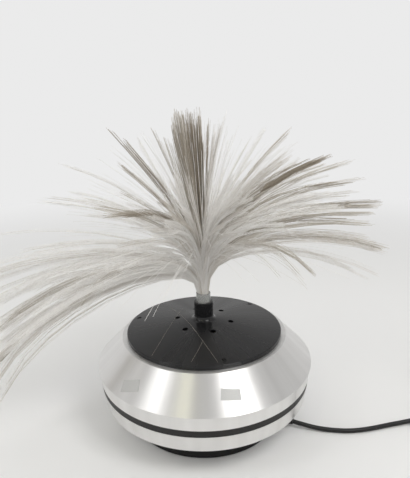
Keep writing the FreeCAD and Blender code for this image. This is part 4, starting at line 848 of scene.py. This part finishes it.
def make_label(name, bearing, height, tilt, width, depth):
    shape = bmesh.new()
    columns, rows = LABEL_GRID
    bmesh.ops.create_grid(shape, x_segments=columns, y_segments=rows, size=0.5)
    sheet = bmesh.ops.extrude_face_region(shape, geom=list(shape.faces))
    for vertex in [item for item in sheet["geom"] if isinstance(item, bmesh.types.BMVert)]:
        vertex.co.z += 1.0
    bmesh.ops.recalc_face_normals(shape, faces=shape.faces)
    middle = (height - CONE_FOOT[1]) / math.sin(CONE_SLOPE)
    around = CONE_FOOT[0] - middle * math.cos(CONE_SLOPE)
    lean = math.radians(tilt)
    for vertex in shape.verts:
        across, up = vertex.co.x * width, vertex.co.y * depth
        along = across * math.cos(lean) - up * math.sin(lean)
        climb = across * math.sin(lean) + up * math.cos(lean)
        turn = math.radians(bearing) + along / around
        vertex.co = on_cone(turn, middle + climb, LABEL_GAP + LABEL_THICKNESS * vertex.co.z)
    mesh = bpy.data.meshes.new(name)
    shape.to_mesh(mesh)
    shape.free()
    mesh.materials.append(LABEL_PAPER)
    label = bpy.data.objects.new(name, mesh)
    bpy.context.scene.collection.objects.link(label)
    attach(label, "base")
    print(name, len(mesh.polygons), "faces")


for label_row in LABELS:
    make_label(*label_row)

# %% [markdown]
# The mains lead is one NURBS spline from the strain relief to the plug: over the table, through the
# in-line switch, round its coil and into the plug. The points of the free runs are listed, and a loop
# winds the coil: in along the table, out on top of that, and in again. A NURBS spline rounds the
# corners between its points by itself, and takes its order only after they are added.

# %% Mains lead
LEAD_RADIUS = 2.5 * MM
LEAD_START = [(100.33, -42.59, 7.6), (112.5, -46.6, 5.9), (126.0, -49.6, 3.4), (142.0, -52.6, 2.6),
              (159.0, -54.9, 2.6), (176.0, -54.0, 2.6), (192.0, -50.9, 2.6), (208.0, -46.9, 2.6),
              (224.0, -43.8, 2.9), (241.0, -41.9, 4.6), (252.0, -41.0, 6.6)]
SWITCH_ENDS = [(263.1, -40.2, 8.0), (293.0, -37.6, 8.0), (322.9, -35.0, 8.0)]
LEAD_TAIL = [(334.0, -32.2, 6.9), (347.0, -26.6, 4.2), (357.0, -15.0, 2.8), (363.0, 1.0, 2.6),
             (364.5, 15.0, 2.6)]
LEAD_END = [(355.0, 71.0, 12.8), (356.4, 83.0, 9.6), (358.0, 95.0, 6.9)]
TURN_POINTS = 16
COIL_COLUMNS = 4
COIL_CLIMB = 0.35
COIL_TURNS = 8.1
COIL_START = math.radians(-14)
COIL_LIFT = 0.1 * MM
LAYER_SQUEEZE = 0.98


def coil_points():
    """Points on the turns of the coil; it takes COIL_CLIMB of a turn to climb to the next layer."""
    low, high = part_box("lead_coil")
    centre = (low + high) / 2
    outer = (high.x - low.x) / 2 - LEAD_RADIUS
    pitch = 2 * LEAD_RADIUS
    columns = COIL_COLUMNS - 1
    inner = outer - columns * pitch
    points = []
    turned_by = 0.0
    while turned_by < COIL_TURNS:
        lap = turned_by % (columns + COIL_CLIMB)
        layer = int(turned_by // (columns + COIL_CLIMB))
        inward = min(lap, columns) * pitch
        rise = max(0.0, (lap - columns) / COIL_CLIMB)
        radius = outer - inward if layer % 2 == 0 else inner + inward
        angle = COIL_START + turned_by * math.tau
        points.append((centre.x + radius * math.cos(angle), centre.y + radius * math.sin(angle),
                       COIL_LIFT + LEAD_RADIUS + (layer + rise) * pitch * LAYER_SQUEEZE))
        turned_by += 1 / TURN_POINTS
    return [Vector(point) for point in points]


def make_lead():
    curve = bpy.data.curves.new("lead", "CURVE")
    curve.dimensions = "3D"
    curve.bevel_depth = LEAD_RADIUS
    curve.bevel_resolution = 5
    curve.use_fill_caps = True
    route = [mm(*point) for point in LEAD_START + SWITCH_ENDS + LEAD_TAIL]
    route += coil_points() + [mm(*point) for point in LEAD_END]
    spline = curve.splines.new("NURBS")
    spline.points.add(len(route) - 1)
    for point, place in zip(spline.points, route):
        point.co = (*place, 1.0)
    spline.use_endpoint_u = True
    spline.order_u = 3
    spline.resolution_u = 5
    curve.materials.append(LEAD_BLACK)
    lead = bpy.data.objects.new("mains_lead", curve)
    bpy.context.scene.collection.objects.link(lead)
    return lead


lead = make_lead()
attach(lead, "base")
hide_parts("lead_tube", "lead_coil", "lead_tail")
print("lead points", len(lead.data.splines[0].points))

# %% [markdown]
# The stage is one endless floor. Close to the lamp it is a plain diffuse surface that takes the
# shadow. Further out it fades into the same even grey as the background, so that no horizon shows.
# A curved backdrop would do that from the front only, and a disc does it from every side.

# %% Stage
STAGE_GREY = (0.83, 0.83, 0.83, 1)
FLOOR_GREY = (0.87, 0.87, 0.86565, 1)
FLOOR_RADIUS = 40.0
FADE_NEAR = 0.45
FADE_FAR = 1.6


def seen_by(tree, *rays):
    """1 for the named kinds of ray and 0 for the rest."""
    path = add_node(tree, "ShaderNodeLightPath")
    seen = path.outputs[rays[0]]
    for ray in rays[1:]:
        seen = math_node(tree, "MAXIMUM", seen, path.outputs[ray])
    return seen


def make_floor():
    shape = bmesh.new()
    bmesh.ops.create_circle(shape, cap_ends=True, segments=64, radius=FLOOR_RADIUS)
    mesh = bpy.data.meshes.new("floor")
    shape.to_mesh(mesh)
    shape.free()
    material, tree, shader = new_material(
        "floor", 0.0, {"Base Color": FLOOR_GREY, "Roughness": 0.7, "Specular IOR Level": 0.2})
    plain = add_node(tree, "ShaderNodeEmission")
    plain.inputs["Color"].default_value = STAGE_GREY
    place = add_node(tree, "ShaderNodeTexCoord").outputs["Object"]
    far = add_node(tree, "ShaderNodeMapRange", interpolation_type="SMOOTHSTEP")
    far.inputs["From Min"].default_value = FADE_NEAR
    far.inputs["From Max"].default_value = FADE_FAR
    tree.links.new(vector_node(tree, "LENGTH", place), far.inputs["Value"])
    mix = add_node(tree, "ShaderNodeMixShader")
    seen = seen_by(tree, "Is Camera Ray", "Is Transmission Ray", "Is Glossy Ray")
    tree.links.new(math_node(tree, "MULTIPLY", seen, far.outputs[0]), mix.inputs[0])
    tree.links.new(shader.outputs[0], mix.inputs[1])
    tree.links.new(plain.outputs[0], mix.inputs[2])
    tree.links.new(mix.outputs[0], tree.nodes["Material Output"].inputs["Surface"])
    mesh.materials.append(material)
    floor = bpy.data.objects.new("floor", mesh)
    bpy.context.scene.collection.objects.link(floor)
    print("floor", FLOOR_RADIUS, "m")


make_floor()

# %% [markdown]
# The room lights the lamp from all sides, more from the sides than from above and a little more from
# the left. Three soft boxes in front make the bright fans on the cone, one of them a narrow yellowish
# strip, and a large one behind lights the back of the plate. The camera itself sees only even grey,
# and so do rays through clear plastic. Metal reflects the room, because its fall from the sides to
# the top is what shapes the cone.

# %% Light
ROOM_SIDES = 0.80
ROOM_TOP = 0.38
ROOM_LEAN = -0.06
WHITE = (1.0, 0.995, 0.985)
YELLOW = (0.95, 0.93, 0.62)
SOFT_BOX_AIM = Vector((0, 0, 0.1))
SOFT_BOXES = [("right", (0.64, -0.64, 1.30), (0.50, 0.60), 7.5, WHITE),
              ("left", (-0.92, -0.46, 1.20), (0.34, 0.50), 2.0, WHITE),
              ("strip", (-0.42, -0.80, 1.25), (0.07, 0.60), 0.7, YELLOW),
              ("back", (-0.1, 0.6, 1.7), (1.4, 1.0), 5.0, WHITE)]


def make_room():
    world = bpy.data.worlds.new("room")
    bpy.context.scene.world = world
    world.use_nodes = True
    tree = world.node_tree
    room = tree.nodes["Background"]
    room.inputs["Color"].default_value = (*WHITE, 1)
    direction = add_node(tree, "ShaderNodeTexCoord").outputs["Generated"]
    parts = add_node(tree, "ShaderNodeSeparateXYZ")
    tree.links.new(direction, parts.inputs[0])
    level = spread_value(tree, parts.outputs["Z"], ROOM_SIDES, ROOM_TOP)
    lean = math_node(tree, "MULTIPLY", parts.outputs["X"], ROOM_LEAN)
    tree.links.new(math_node(tree, "ADD", level, lean), room.inputs["Strength"])
    plain = add_node(tree, "ShaderNodeBackground")
    plain.inputs["Color"].default_value = STAGE_GREY
    mix = add_node(tree, "ShaderNodeMixShader")
    tree.links.new(seen_by(tree, "Is Camera Ray", "Is Transmission Ray"), mix.inputs[0])
    tree.links.new(room.outputs[0], mix.inputs[1])
    tree.links.new(plain.outputs[0], mix.inputs[2])
    tree.links.new(mix.outputs[0], tree.nodes["World Output"].inputs["Surface"])


def make_soft_box(name, place, shape, power, colour):
    data = bpy.data.lights.new(f"{name}_soft_box", "AREA")
    data.shape = "RECTANGLE"
    data.size, data.size_y = shape
    data.energy = power
    data.color = colour
    box = bpy.data.objects.new(data.name, data)
    bpy.context.scene.collection.objects.link(box)
    box.location = place
    box.rotation_euler = (SOFT_BOX_AIM - Vector(place)).to_track_quat("-Z", "Y").to_euler()
    print(data.name, power, "W")


make_room()
for soft_box in SOFT_BOXES:
    make_soft_box(*soft_box)

# %% [markdown]
# The scene's colours are written as they should appear, so the view transform is Standard.

# %% Finish
bpy.context.scene.view_settings.view_transform = "Standard"
